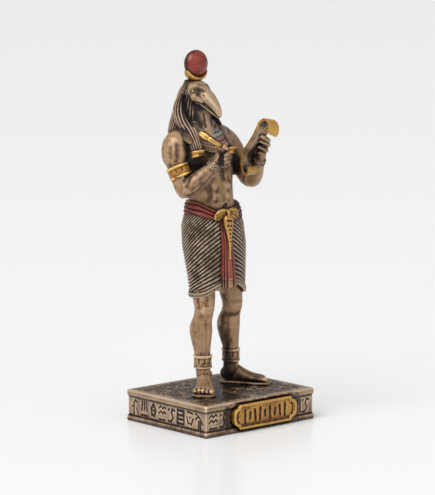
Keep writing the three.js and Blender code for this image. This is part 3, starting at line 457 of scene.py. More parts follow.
body_strokes = [
    # The middle line, the navel and the edges of the belly's muscles.
    ([(-1.1, -1.4, 52.8), (-0.8, -1.5, 49.2), (-0.4, -1.5, 46.6), (-0.1, -1.4, 44.6)], 0.7, 0.16, 0.05),
    (navel_ring, 0.22, 0.25, 0.8),
    ([(-0.2, -1.0, 51.6), (0.0, -1.3, 50.2), (0.3, -1.4, 49.2)], 0.42, 0.06, 0.85),
    ([(-0.8, -1.0, 51.6), (-0.3, -1.1, 50.4), (0.0, -1.1, 49.6)], 0.8, 0.0, 0.7),
    ([(-3.9, -0.6, 47.9), (-3.5, -0.8, 47.2)], 0.6, 0.08, 0.45),
    ([(-1.5, -1.1, 47.2), (-1.8, -1.1, 46.4)], 0.55, 0.06, 0.36),
    ([(1.5, -0.8, 50.0), (2.0, -0.6, 48.8)], 0.5, 0.03, 0.34),
    ([(-1.95, -1.2, 47.4), (-2.1, -1.2, 46.5)], 0.75, 0.08, 0.38),
    ([(-2.0, -1.2, 45.2), (-2.1, -1.2, 44.5)], 0.7, 0.08, 0.38),
    ([(1.9, -1.1, 46.7), (2.0, -1.1, 44.8)], 0.7, 0.08, 0.18),
    ([(-4.7, -0.4, 47.2), (-4.1, -0.7, 46.4), (-3.9, -0.7, 45.4), (-4.3, -0.5, 44.5)], 0.8, 0.16, 0.34),
    ([(3.4, 0.2, 47.2), (3.1, -0.2, 45.4), (3.3, 0.0, 44.2)], 0.7, 0.14, 0.2),
    ([(-3.1, -1.0, 49.6), (-3.8, -0.8, 48.6), (-5.0, -0.1, 47.6)], 0.8, 0.1, 0.22),
    ([(0.9, -1.1, 50.6), (2.2, -0.8, 49.0), (3.6, 0.2, 47.8)], 0.7, 0.1, 0.12),
    # Painted shade, thick and nearly black, on the chest, under the arms and between the falls of hair.
    ([(-8.4, 0.7, 53.8), (-6.4, -0.3, 53.2), (-4.2, -1.2, 52.6)], 1.9, 0.0, 0.8),
    ([(-7.6, 0.8, 56.2), (-5.4, -0.6, 55.6), (-3.4, -1.2, 55.4)], 1.5, 0.0, 0.7),
    ([(-2.6, -1.2, 52.0), (-0.4, -1.3, 52.2), (2.0, -0.8, 53.0), (4.6, 0.1, 52.8)], 1.1, 0.0, 0.75),
    ([(5.6, 1.2, 50.4), (5.4, 1.0, 53.6)], 1.5, 0.0, 0.9),
    ([(-6.0, 0.8, 50.4), (-5.4, 0.4, 48.4)], 1.2, 0.0, 0.5),
    # The shoulders' muscles, with broad painted shade over the right upper arm and forearm, and darker
    # painted shade under the forearm and along the inside of the arm.
    ([(-12.5, 3.2, 57.0), (-12.4, 3.0, 55.0)], 0.65, 0.12, 0.52),
    ([(-11.6, 2.1, 57.9), (-11.7, 2.0, 56.4), (-11.9, 2.1, 54.4)], 0.75, 0.12, 0.58),
    ([(-9.2, 1.4, 58.4), (-9.4, 1.2, 54.4)], 0.95, 0.1, 0.66),
    ([(-12.2, 2.6, 58.0), (-12.2, 2.6, 54.0)], 2.2, 0.0, 0.22),
    ([(-10.2, 1.4, 53.4), (-11.8, 2.0, 53.2), (-12.5, 3.4, 53.2)], 0.7, 0.0, 0.4),
    ([(-10.4, -0.4, 46.3), (-8.6, -2.3, 47.9), (-6.9, -3.6, 50.2), (-5.8, -4.2, 51.6)], 0.42, 0.0, 0.66),
    ([(-9.9, -1.3, 48.0), (-9.0, -2.2, 48.9), (-8.2, -2.8, 49.4)], 0.7, 0.0, 0.42),
    ([(-13.0, 5.6, 56.8), (-12.6, 4.9, 53.8)], 0.55, 0.14, 0.25),
    ([(9.6, 3.6, 56.8), (10.5, 3.0, 54.4)], 0.5, 0.14, 0.3),
    ([(9.8, 5.4, 57.0), (10.9, 4.8, 54.2)], 0.5, 0.14, 0.3),
    ([(-8.6, 2.0, 56.6), (-8.8, 1.4, 53.8)], 0.9, 0.0, 0.5),
    ([(-12.9, 3.2, 49.4), (-12.2, 1.6, 47.6), (-10.6, 0.2, 46.2)], 0.9, 0.0, 0.28),
    ([(-9.4, -1.6, 49.2), (-7.6, -3.2, 51.0)], 0.35, 0.04, 0.34),
    ([(-9.6, -0.9, 48.6), (-6.6, -3.2, 51.8)], 1.7, 0.0, 0.24),
    # The bends of the elbows, and muscles and sinews of the forearms.
    ([(-10.9, -0.4, 48.4), (-10.4, -0.6, 49.4), (-10.2, -0.5, 50.8)], 0.6, 0.16, 0.62),
    ([(-10.6, -0.9, 48.4), (-10.9, 0.1, 49.6)], 0.75, 0.05, 0.42),
    ([(-10.2, -0.5, 50.2), (-9.4, -0.9, 51.2)], 0.4, 0.1, 0.5),
    ([(-9.2, -1.2, 51.4), (-8.8, -1.9, 50.9)], 0.5, 0.05, 0.3),
    ([(-7.8, -3.3, 51.6), (-8.0, -3.2, 50.6), (-8.3, -3.1, 49.8)], 0.7, 0.04, 0.3),
    ([(-7.0, -3.6, 52.6), (-6.6, -3.8, 52.2)], 0.5, 0.04, 0.45),
    ([(-10.6, 0.4, 46.6), (-9.0, -1.4, 48.2)], 0.9, 0.0, 0.3),
    ([(10.6, -0.6, 50.2), (10.0, -1.8, 51.2)], 0.6, 0.1, 0.4),
    ([(10.9, -1.6, 48.6), (9.9, -3.0, 50.8)], 0.5, 0.12, 0.25),
    # The furrow of the spine and the long muscles beside it.
    ([(-0.2, 7.2, 43), (-0.5, 7.7, 47), (-1.1, 8.5, 52), (-1.6, 9.2, 57)], 0.8, 0.4, 0.1),
    ([(-2.2, 7.0, 43), (-2.8, 7.4, 47), (-3.6, 8.2, 51)], 1.2, -0.25, 0.0),
    ([(1.8, 7.0, 43), (1.8, 7.4, 47), (1.6, 8.2, 51)], 1.2, -0.25, 0.0),
]
press(body, body_strokes)
finish_piece(body, bare_bronze)

# Legs
# Bare legs from under the kilt to the anklets, of the same bronze casting, with knee caps, shins and
# calves. The right one is forward.
right_leg = [
    [-3.9, 1.5, 2.4, 1.3, 1.7],
    [-4.6, 0.9, 4.2, 1.6, 1.85],
    [-4.7, 1.1, 8.4, 1.75, 1.9],
    [-4.6, 1.5, 11.4, 2.25, 2.4],
    [-4.5, 1.8, 14.4, 2.65, 2.8],
    [-4.4, 1.2, 17.2, 2.2, 2.25],
    [-4.3, 0.8, 19.6, 2.25, 2.5],
    [-3.9, 1.6, 23.0, 2.7, 2.8],
    [-3.6, 2.4, 27.0, 2.6, 2.6],
]
left_leg = [
    [5.9, 3.7, 2.4, 1.4, 1.7],
    [6.2, 3.3, 4.2, 1.75, 1.9],
    [6.1, 3.2, 8.4, 1.85, 1.9],
    [5.8, 3.4, 11.4, 2.35, 2.4],
    [5.5, 3.4, 14.4, 2.7, 2.8],
    [5.5, 2.5, 17.2, 2.3, 2.25],
    [5.4, 1.9, 19.6, 2.35, 2.5],
    [4.9, 2.1, 23.0, 2.7, 2.8],
    [4.4, 2.4, 27.0, 2.6, 2.6],
]
legs = cast(
    "legs",
    [
        limb(right_leg, sides=28),
        limb(left_leg, sides=28),
        # A knee cap and the two muscles over it, on the right and then on the left.
        lump((-5.35, -0.25, 19.2), (1.15, 1.0, 1.6), (0, 0, -42)),
        lump((-3.3, 1.0, 22.0), (1.3, 1.6, 2.2), (0, 0, -42)),
        lump((-4.9, 0.5, 21.4), (1.4, 1.3, 2.0), (0, 0, -42)),
        lump((6.1, 0.8, 18.6), (1.15, 1.0, 1.6), (0, 0, 38)),
        lump((4.1, 1.5, 21.2), (1.3, 1.6, 2.0), (0, 0, 38)),
        lump((5.6, 1.0, 20.9), (1.4, 1.3, 1.9), (0, 0, 38)),
    ],
    rounds=9,
)
press(
    legs,
    [
        # Round the right knee and down its shin, with broad painted shade down both sides of the shin.
        ([(-5.3, -1.2, 21.6), (-5.4, -1.1, 20.4)], 0.7, 0.1, 0.5),
        ([(-6.3, -0.7, 21.0), (-6.5, -0.5, 19.9)], 0.7, 0.12, 0.26),
        ([(-7.1, 0.7, 21.8), (-6.8, 0.4, 20.0)], 0.7, 0.12, 0.4),
        ([(-6.4, 0.1, 17.3), (-6.2, -0.2, 17.9), (-5.9, -0.4, 17.4)], 0.7, 0.06, 0.34),
        ([(-4.8, -1.0, 17.6), (-3.9, -0.6, 18.2)], 0.6, 0.12, 0.24),
        ([(-5.3, -0.8, 16.6), (-5.2, -0.9, 14.4)], 0.6, 0.06, 0.4),
        ([(-5.2, -0.9, 14.4), (-5.1, -0.8, 9.4)], 0.6, 0.06, 0.16),
        ([(-6.6, 0.5, 15.6), (-6.5, 0.4, 14.4)], 0.5, 0.04, 0.2),
        ([(-3.1, 0.2, 16.4), (-2.8, 0.7, 13.8), (-3.2, 0.5, 10.6)], 0.5, 0.1, 0.25),
        ([(-6.0, 0.0, 9.0), (-4.8, -0.8, 8.9), (-3.4, 0.0, 9.0)], 0.35, 0.0, 0.4),
        ([(-7.1, 1.6, 15.6), (-6.5, 1.6, 10.0)], 0.9, 0.0, 0.24),
        ([(-4.2, -0.5, 15.6), (-4.0, -0.4, 10.4)], 0.7, 0.0, 0.2),
        # The same on the left leg, whose inner side is painted nearly black as shade.
        ([(3.9, -0.1, 20.0), (5.2, -0.5, 20.2), (6.6, -0.5, 20.1)], 0.7, 0.12, 0.12),
        ([(3.3, 1.9, 17.0), (4.4, 0.7, 16.8), (5.8, 0.1, 17.1)], 0.8, 0.14, 0.56),
        ([(2.7, 1.8, 21.6), (2.9, 2.2, 18.4), (3.0, 2.8, 14.6)], 0.9, 0.0, 0.62),
        ([(3.6, 1.5, 15.6), (3.8, 1.6, 13.1)], 0.75, 0.1, 0.45),
        ([(3.7, 2.2, 12.0), (4.3, 2.4, 8.8)], 1.2, 0.04, 0.72),
        ([(3.4, 3.4, 13.4), (4.2, 3.6, 9.0)], 1.1, 0.0, 0.8),
        ([(4.3, 3.0, 5.6), (4.6, 3.2, 3.4)], 1.9, 0.0, 1.0),
        # The calves' middle lines.
        ([(-4.8, 4.4, 15.0), (-4.6, 3.6, 9.6)], 0.9, 0.12, 0.1),
        ([(5.6, 6.0, 15.0), (5.9, 5.2, 9.6)], 0.9, 0.12, 0.1),
    ],
)
finish_piece(legs, bare_bronze)

# Feet and sandals
# Bare feet in flat thong sandals, cast with the figure: the toes part over the sole's front edge, and a
# strap over the instep and a thong to the toes stand up as low ridges.
HEELS = {"right": ((-2.7, 2.7), -42), "left": ((5.2, 5.4), 38)}
FOOT_GRAIN = 0.15
FOOT_LENGTH = 11.25
TOE_RADIUS = 0.55
TOE_PITCH = 0.93
TOE_STEP = 0.32
BIG_TOE_FULLER = 1.35
BIG_TOE_INWARD = 1.7


def foot_place(side, along, inward, high):
    """A place measured from the back of a heel: along the foot, to the big toe's side, and up."""
    (x, y), turn = HEELS[side]
    angle = math.radians(turn)
    toes = (math.sin(angle), -math.cos(angle))
    inner = (-toes[1], toes[0]) if side == "right" else (toes[1], -toes[0])
    return (
        x + toes[0] * along + inner[0] * inward,
        y + toes[1] * along + inner[1] * inward,
        high,
    )


def foot_limb(side, rows, **shape):
    """A limb along a foot, whose rows start with a place measured as above."""
    return limb([[*foot_place(side, *row[:3]), *row[3:]] for row in rows], (0, 0, 1), **shape)


foot_rows = [
    [0.1, 0, 1.5, 0.9, 0.8],
    [0.8, 0, 1.9, 1.45, 1.75],
    [2.6, 0, 2.4, 1.65, 2.25],
    [5.0, 0.1, 1.9, 1.75, 1.7],
    [7.3, 0.1, 1.45, 2.15, 1.15],
    [9.2, 0.0, 1.2, 2.4, 0.92],
    [10.2, 0.0, 1.05, 2.25, 0.62],
]
foot_forms, sole_forms, strap_forms = [], [], []
for side in HEELS:
    foot_forms.append(foot_limb(side, foot_rows, sides=28, steps=4))
    for toe in range(5):
        radius = TOE_RADIUS * (BIG_TOE_FULLER if toe == 0 else 1 - 0.05 * toe)
        inward = BIG_TOE_INWARD if toe == 0 else 1.5 - TOE_PITCH * toe
        tip = FOOT_LENGTH - TOE_STEP * toe
        toe_rows = [
            [tip - 2.4, inward * 0.95, 1.3, radius, radius * 0.8],
            [tip - 1.2, inward, 1.15, radius * 0.85, radius * 0.8],
            [tip - 0.5, inward, 1.05, radius, radius],
            [tip, inward, 0.95, radius * 0.5, radius * 0.5],
        ]
        foot_forms.append(foot_limb(side, toe_rows, sides=14))
    # Ankle bones.
    for inward in (-1.5, 1.5):
        foot_forms.append(lump(foot_place(side, 2.4, inward, 3.9), (0.4, 0.45, 0.6)))
    sole_rows = [
        [-0.4, 0, 0.3, 0.8, 0.3],
        [0.6, 0, 0.3, 1.7, 0.3],
        [4.4, 0, 0.3, 1.8, 0.3],
        [9.0, 0, 0.3, 2.75, 0.3],
        [11.2, 0, 0.3, 2.3, 0.3],
        [11.9, 0, 0.3, 1.2, 0.3],
    ]
    sole_forms.append(foot_limb(side, sole_rows, sides=40, steps=5, square=7))
    # The thong from the instep to the big toe, and the strap across the instep.
    thong_rows = [
        [3.4, 0.2, 4.6, 0.3, 0.2],
        [4.6, 0.3, 3.85, 0.3, 0.25],
        [6.6, 0.6, 2.7, 0.28, 0.25],
        [8.6, 0.9, 1.85, 0.26, 0.22],
        [10.0, 1.1, 1.3, 0.2, 0.15],
    ]
    strap_forms.append(foot_limb(side, thong_rows, sides=12, steps=3))
    strap_rows = [
        [4.3, 1.85 * math.cos(s), 0.5 + 3.3 * math.sin(s), 0.22, 0.16]
        for s in np.linspace(0.6, math.pi - 0.6, 9)
    ]
    strap_forms.append(foot_limb(side, strap_rows, sides=12, steps=2))
feet = cast("feet", foot_forms, FOOT_GRAIN, 2)
foot_strokes = []
for side in HEELS:
    for gap in range(4):
        # A gap between two toes, and the dip between their tendons.
        inward = 1.15 - 0.9 * gap
        toe_gap = [
            foot_place(side, 10.9 - 0.3 * gap, inward, 1.1),
            foot_place(side, 9.9 - 0.25 * gap, inward * 0.97, 1.35),
        ]
        dip = [foot_place(side, 8.8, inward * 0.95, 1.6), foot_place(side, 5.8, inward * 0.6, 2.6)]
        foot_strokes += [(toe_gap, 0.21, 0.17, 0.95), (dip, 0.3, 0.05, 0.24)]
    for inward in (1, -1):
        along_sole = [
            foot_place(side, 1.4, inward * 1.8, 1.2),
            foot_place(side, 5.0, inward * 1.9, 1.0),
        ]
        foot_strokes.append((along_sole, 0.5, 0.1, 0.6))
# The left foot stands in shade, which is painted on: its heel and instep are left nearly black.
foot_strokes += [
    ([(5.2, 4.6, 1.0), (4.6, 3.2, 2.2), (5.0, 2.6, 3.6)], 2.2, 0.0, 1.0),
    ([(5.4, 3.0, 3.4), (7.4, 0.2, 1.8), (9.4, -2.4, 1.1)], 1.6, 0.0, 0.6),
]
press(feet, foot_strokes)
finish_piece(feet, bare_bronze)
sandals = cast("sandals", sole_forms + strap_forms, FOOT_GRAIN, 1)
# Sandals: the same resin, left darker by the wash, its edges rubbed.
sandal_bronze = washed_resin("washed bronze sandal", "5e4a38", "a88c6c", 0.35, 0.4)
finish_piece(sandals, sandal_bronze)

# Hands
# Small bare hands of the bronze casting. The right one holds the pen between thumb and first finger,
# and the left one stands behind the scroll's far edge with its fingers round that edge.
HAND_GRAIN = 0.14
THUMB_RADIUS = 0.55
RIGHT_FINGER_RADIUS = 0.5
RIGHT_FINGER_PITCH = 0.82
LEFT_FINGER_RADIUS = 0.56


def digit(places, radius, towards=(0, -1, 0)):
    """A finger or thumb through its knuckles, a little thinner at the tip."""
    rows = []
    for number, place in enumerate(places):
        thin = 0.8 if number == len(places) - 1 else 1.0
        rows.append([*place, radius * thin, radius * thin])
    return limb(rows, towards, sides=14, steps=4)


right_palm = [
    [-5.6, -3.0, 52.5, 1.15, 1.15],
    [-5.0, -3.6, 53.3, 1.35, 1.1],
    [-4.3, -4.3, 54.2, 1.6, 1.05],
    [-3.5, -5.0, 55.0, 1.6, 0.85],
]
right_thumb = [(-5.4, -4.2, 54.2), (-5.4, -4.8, 55.4), (-4.8, -5.0, 56.6), (-4.35, -5.0, 57.2)]
first_finger = [(-3.8, -4.6, 55.4), (-3.0, -5.4, 56.5), (-3.6, -5.6, 57.2), (-4.2, -5.4, 57.5)]
hand_forms = [
    limb(right_palm, (-0.55, -0.83, 0)),
    lump((-5.0, -4.1, 54.3), (0.8, 0.8, 1.1), (0, 30, 0)),
    digit(right_thumb, THUMB_RADIUS),
    digit(first_finger, RIGHT_FINGER_RADIUS),
]
# The right hand's fingers lie curled, one under another.
for number in range(4):
    drop = number * RIGHT_FINGER_PITCH
    knuckles = [
        (-3.9, -4.6, 55.0 - drop * 0.85),
        (-2.9, -5.4, 55.9 - drop),
        (-3.0, -6.1, 55.9 - drop),
        (-3.9, -6.2, 55.6 - drop),
        (-4.3, -5.9, 55.3 - drop),
    ]
    hand_forms.append(digit(knuckles, RIGHT_FINGER_RADIUS, (0, 0, 1)))
left_palm = [
    [8.5, -4.2, 52.8, 1.15, 1.2],
    [8.6, -4.2, 54.6, 1.15, 1.5],
    [8.5, -4.7, 56.4, 1.1, 1.5],
    [8.1, -5.8, 58.0, 0.9, 1.3],
    [7.7, -6.4, 59.0, 0.5, 0.8],
]
left_thumb = [(8.0, -3.4, 54.6), (6.8, -4.0, 56.6), (5.8, -5.0, 58.2)]
hand_forms += [
    limb(left_palm, sides=24),
    digit(left_thumb, LEFT_FINGER_RADIUS),
]
finger_lines = [
    [(9.2, -4.0, 54.6), (9.3, -4.7, 54.5), (8.3, -5.0, 54.9), (7.2, -4.9, 55.5)],
    [(9.2, -4.6, 55.7), (9.3, -5.5, 55.7), (7.9, -5.9, 56.3), (6.4, -5.7, 57.0)],
    [(9.0, -5.4, 57.0), (9.1, -6.4, 57.0), (7.4, -7.0, 57.8), (5.8, -6.8, 58.4)],
    [(8.4, -6.2, 58.1), (8.3, -7.3, 58.2), (6.6, -8.1, 58.9), (5.2, -7.9, 59.6)],
]
hand_forms += [digit(line, LEFT_FINGER_RADIUS, (0, 0, 1)) for line in finger_lines]
hands = cast("hands", hand_forms, HAND_GRAIN, 2)
press(
    hands,
    [
        ([(-4.7, -4.9, 56.2), (-4.3, -5.2, 55.0), (-4.6, -4.9, 53.8)], 0.6, 0.1, 1.0),
        ([(-5.1, -4.4, 55.6), (-5.0, -4.6, 55.0)], 0.3, 0.08, 0.5),
        # Broad painted shade over the right hand's curled fingers.
        ([(-3.9, -6.4, 53.0), (-3.4, -6.6, 54.0)], 1.1, 0.0, 0.5),
        ([(-3.6, -6.0, 55.2), (-2.6, -6.0, 55.8)], 1.4, 0.0, 0.38),
        ([(8.7, -6.4, 56.3), (7.0, -6.6, 57.0)], 0.28, 0.08, 0.7),
        ([(8.5, -7.2, 57.6), (6.4, -7.6, 58.4)], 0.28, 0.08, 0.7),
        ([(8.8, -5.6, 55.1), (7.4, -5.6, 55.8)], 0.28, 0.08, 0.7),
        # Broad painted shade over the left hand behind the scroll.
        ([(8.6, -5.4, 55.4), (7.2, -7.2, 58.4)], 2.4, 0.0, 0.3),
    ],
)
finish_piece(hands, bare_bronze)

# Head
# A bird's head on a thick neck, cast with the figure: a long heavy beak that bends down, bumps over the
# eyes, a hollow before each eye and a nostril, all picked out by the wash.
HEAD_X = -2.3
HEAD_GRAIN = 0.15


def mirrored(middle, side, rows):
    """Rows or places for one side, given with x counted outwards from a middle line."""
    return [[middle + side * out, *rest] for out, *rest in rows]


# Rows of y, z, half width and half thickness, for the beak and the bill that lies under it.
beak_rows = [
    [4.8, 69.2, 2.5, 2.3],
    [3.0, 68.7, 2.2, 1.9],
    [1.4, 67.95, 1.8, 1.5],
    [-0.2, 66.8, 1.36, 1.2],
    [-1.4, 65.6, 0.98, 0.98],
    [-2.1, 64.4, 0.66, 0.72],
    [-2.4, 63.7, 0.25, 0.3],
]
bill_rows = [
    [5.4, 67.0, 2.0, 1.3],
    [3.4, 66.7, 1.75, 1.05],
    [1.8, 66.15, 1.4, 0.8],
    [0.2, 65.25, 1.0, 0.65],
    [-1.1, 64.35, 0.65, 0.48],
    [-1.9, 63.8, 0.3, 0.28],
]
neck_rows = [
    [-1.9, 4.4, 58.0, 3.3, 4.4],
    [-2.0, 4.7, 61.0, 2.75, 3.6],
    [-2.2, 5.2, 64.4, 2.2, 3.0],
    [-2.3, 5.8, 67.6, 2.2, 2.5],
]
head_forms = [
    lump((HEAD_X, 5.6, 69.2), (2.65, 3.3, 2.9), (12, 0, 0)),
    limb([[HEAD_X, *row] for row in beak_rows], (0, 0, 1), sides=28, steps=5),
    limb([[HEAD_X, *row] for row in bill_rows], (0, 0, 1), sides=24, steps=5),
    limb(neck_rows, level=True, sides=32),
]
for side in (-1, 1):
    head_forms += [
        lump((HEAD_X + side * 1.1, 3.8, 70.35), (1.05, 1.8, 0.95), (14, 0, -side * 14)),
        lump((HEAD_X + side * 1.15, 4.3, 68.1), (1.55, 2.9, 1.6), (18, 0, 0)),
    ]
head = cast("ibis_head", head_forms, HEAD_GRAIN, 8)
MOUTH = [
    (2.6, 4.3, 67.0), (2.3, 3.4, 67.15), (2.0, 2.6, 67.0), (1.6, 1.4, 66.35),
    (1.2, -0.2, 65.35), (0.8, -1.7, 64.25), (0.4, -2.4, 63.8),
]
HEAD_STROKES = [
    # Round the eye, the hollow before it and the nostril.
    ([(2.65, 4.4, 69.75), (2.65, 4.8, 69.65)], 0.7, 0.24, 0.62),
    ([(1.8, 3.2, 70.3), (1.9, 3.1, 69.0)], 0.95, 0.24, 0.82),
    ([(1.7, 2.9, 70.3), (1.25, 2.1, 69.7)], 0.62, 0.12, 0.72),
    ([(2.3, 4.2, 70.3), (2.1, 3.4, 68.9)], 0.6, 0.04, 0.34),
    ([(1.7, 1.75, 68.95), (1.6, 1.2, 68.55)], 0.2, 0.06, 0.7),
    # The line of the mouth, and painted shade: a painted shadow under the lower bill and the jaw, down
    # the side of the neck, behind the cheek and lightly on it.
    (MOUTH, 0.25, 0.22, 1.0),
    ([(a, b, c - 1.1) for a, b, c in MOUTH[1:6]], 0.45, 0.0, 0.6),
    ([(2.3, 4.6, 65.9), (1.6, 3.0, 65.4)], 0.8, 0.1, 1.0),
    ([(2.1, 4.2, 65.0), (1.9, 3.1, 62.2)], 1.25, 0.05, 1.0),
    ([(2.4, 3.2, 62.0), (2.6, 2.6, 60.0)], 1.1, 0.0, 0.8),
    ([(0.9, 2.3, 64.4), (1.0, 1.4, 61.6)], 0.42, 0.1, 0.66),
    ([(2.5, 5.6, 68.4), (2.4, 5.2, 66.6)], 0.4, 0.08, 0.35),
    ([(2.4, 4.6, 68.0), (2.1, 3.4, 67.9)], 0.9, 0.0, 0.28),
]
head_strokes = []
for side in (-1, 1):
    head_strokes += [(mirrored(HEAD_X, side, line), *how) for line, *how in HEAD_STROKES]
press(head, head_strokes)
# Head: the same bronze, rubbed paler and greyer than the body.
pale_bronze = washed_resin("pale rubbed bronze", "a4896b", "dcc6a8", 0.3, 0.43, patches=0.5)
finish_piece(head, pale_bronze)
eye_forms = []
for side in (-1, 1):
    eye_forms.append(lump((HEAD_X + side * 2.3, 4.5, 69.65), (0.22, 0.32, 0.2)))
    # The lid is a thin raised ring.
    lid = [
        [HEAD_X + side * 2.38, 4.5 + 0.52 * math.cos(s), 69.67 + 0.28 * math.sin(s), 0.07, 0.07]
        for s in np.linspace(0, 2 * math.pi, 13)
    ]
    eye_forms.append(limb(lid, (side, 0, 0), sides=8, steps=2))
eyes = cast("eyes", eye_forms, 0.07, 1)
finish_piece(eyes, pale_bronze)

# Wig
# The long hair of the casting in three masses: one down the back and one over each shoulder to the
# chest. Each is combed into locks, which are rounded ridges with the wash dark between them.
PARTING_X = -2.1
LOCK_DEPTH = 0.4
FALL_LOCKS = 14
BACK_LOCKS = 40


def locks(count, depth=LOCK_DEPTH, sweep=0.0):
    """Relief of rounded locks side by side, which turn by sweep locks on their way."""
    return lambda turn, share: -depth * (
        1 - abs(math.cos(math.pi * (count * turn + sweep * share))) ** 0.7
    )


fall_rows = [
    [1.4, 7.4, 71.6, 0.8, 0.9],
    [3.5, 7.3, 68.4, 0.9, 1.0],
    [4.4, 7.0, 65.3, 1.6, 1.1],
    [4.7, 5.6, 62.7, 1.8, 1.2],
    [4.6, 3.2, 60.2, 1.8, 1.2],
    [4.9, 1.1, 58.0, 1.5, 1.0],
    [5.2, -0.3, 55.8, 1.3, 0.85],
]
back_rows = [
    [-1.8, 8.6, 53.6, 5.0, 1.6],
    [-1.8, 8.3, 56.6, 6.3, 2.6],
    [-1.9, 7.8, 60.0, 6.9, 3.4],
    [-2.1, 7.6, 63.0, 5.9, 3.7],
    [-2.2, 7.6, 66.2, 4.4, 3.2],
    [-2.3, 7.5, 69.4, 3.2, 2.8],
    [-2.3, 6.8, 72.0, 1.4, 1.8],
]
hair_forms = []
for side in (-1, 1):
    hair_forms.append(
        limb(
            mirrored(PARTING_X, side, fall_rows),
            (side * 0.8, -0.6, 0),
            sides=FALL_LOCKS * 8,
            steps=7,
            carve=locks(FALL_LOCKS, sweep=side * 0.6),
        )
    )
hair_forms.append(
    limb(back_rows, level=True, sides=BACK_LOCKS * 8, steps=8, carve=locks(BACK_LOCKS, 0.4))
)
wig = joined("wig", hair_forms)
bpy.ops.object.shade_smooth()
# Beside the face the first strand stands off, with a gap behind it that is nearly black with wash
# and painted shade.
gap = [(3.5, 6.6, 68.0), (3.7, 6.2, 66.0), (4.15, 4.7, 63.8), (3.9, 2.8, 62.0)]
press(wig, [(mirrored(PARTING_X, side, gap), 0.42, 0.35, 1.0) for side in (-1, 1)])
# Hair: the bronze greyer and darker than the skin, its ridges rubbed to a pinkish tan.
hair_bronze = washed_resin("combed bronze hair", "625143", "bfa28a", 0.3, 0.44)
finish_piece(wig, hair_bronze)

# Hair cuffs
# A short gold band holds the end of each fall of hair on the chest: two rims with a plain band between
# them, cast on and painted.
cuff_rows = [
    [5.2, -0.7, 55.0, 1.45, 0.95],
    [5.2, -0.66, 55.15, 1.65, 1.15],
    [5.2, -0.6, 55.5, 1.5, 1.05],
    [5.2, -0.5, 56.0, 1.5, 1.05],
    [5.2, -0.42, 56.3, 1.65, 1.15],
    [5.2, -0.38, 56.45, 1.45, 0.95],
]
cuff_forms = [
    limb(mirrored(PARTING_X, side, cuff_rows), (side * 0.8, -0.6, 0), sides=48, square=3.5)
    for side in (-1, 1)
]
cuffs = cast("hair_cuffs", cuff_forms, 0.14, 1)
press(
    cuffs,
    [
        ([(-7.7, -1.6, 55.75), (-7.0, -1.8, 55.75)], 0.45, 0.12, 0.8),
        ([(2.8, -1.8, 55.75), (3.5, -1.6, 55.75)], 0.4, 0.12, 0.75),
    ],
)
# Antique gold: bronze-gold paint brushed on the resin, bright on its edges and brown where the wash
# stays.
antique_gold = washed_resin(
    "antique gold paint", "ab7c34", "e6bd70", 0.5, 0.34, brown="6b4014", deep="231204"
)
finish_piece(cuffs, antique_gold)

# Broad collar
# A wide collar of bead rows cast in low relief on chest and shoulders and painted in bands: pale blue,
# red, a dull mauve and a gold rim, with the wash between the beads.
COLLAR_Y = 5.0
COLLAR_ROWS = [
    [5.0, 3.8, 57.4, 55.2],
    [8.3, 6.1, 59.2, 55.7],
    [8.5, 6.25, 59.7, 56.1],
    [8.4, 6.2, 60.1, 56.6],
    [7.4, 5.5, 60.8, 57.8],
    [5.6, 4.4, 61.6, 59.6],
    [3.0, 2.9, 62.9, 61.3],
]
COLLAR_BEADS = 64
COLLAR_BEAD_ROWS = 11
COLLAR_BEAD_DEPTH = 0.12
COLLAR_FIRST_ROW = 0.3


def wrapped(name, sides, rows, place):
    """A closed form from a grid of small faces wrapped round an upright axis. place takes the angle from
    the front, and the share from the first row to the last, and gives x, y and z in millimetres and how
    dark each place is left, from 0 to 1, by wash in its relief and by any painted shade. The angles and
    shares come as arrays."""
    clear_selection()
    bpy.ops.mesh.primitive_grid_add(x_subdivisions=sides, y_subdivisions=rows, size=1)
    form = bpy.context.object
    form.name = name
    flat, _ = surface(form)
    angle = flat[:, 0] * 2 * math.pi
    x, y, z, depth = place(angle, flat[:, 1] + 0.5)
    places = np.column_stack([x * MM, y * MM, z * MM + SOLE_LEVEL]).astype(np.float32)
    form.data.vertices.foreach_set("co", places.ravel())
    set_values(form, "wash_and_shade", np.clip(depth, 0, 1))
    bpy.ops.object.mode_set(mode="EDIT")
    bpy.ops.mesh.select_all(action="SELECT")
    bpy.ops.mesh.remove_doubles(threshold=MM * 0.001)
    bpy.ops.mesh.fill_holes(sides=0)
    bpy.ops.mesh.normals_make_consistent(inside=False)
    bpy.ops.object.mode_set(mode="OBJECT")
    bpy.ops.object.shade_smooth()
    return form


def row_values(rows, share):
    """The rows' values at each share of the way through them, straight between one row and the next."""
    rows = np.array(rows, float)
    at = share * (len(rows) - 1)
    return [np.interp(at, np.arange(len(rows)), rows[:, k]) for k in range(rows.shape[1])]


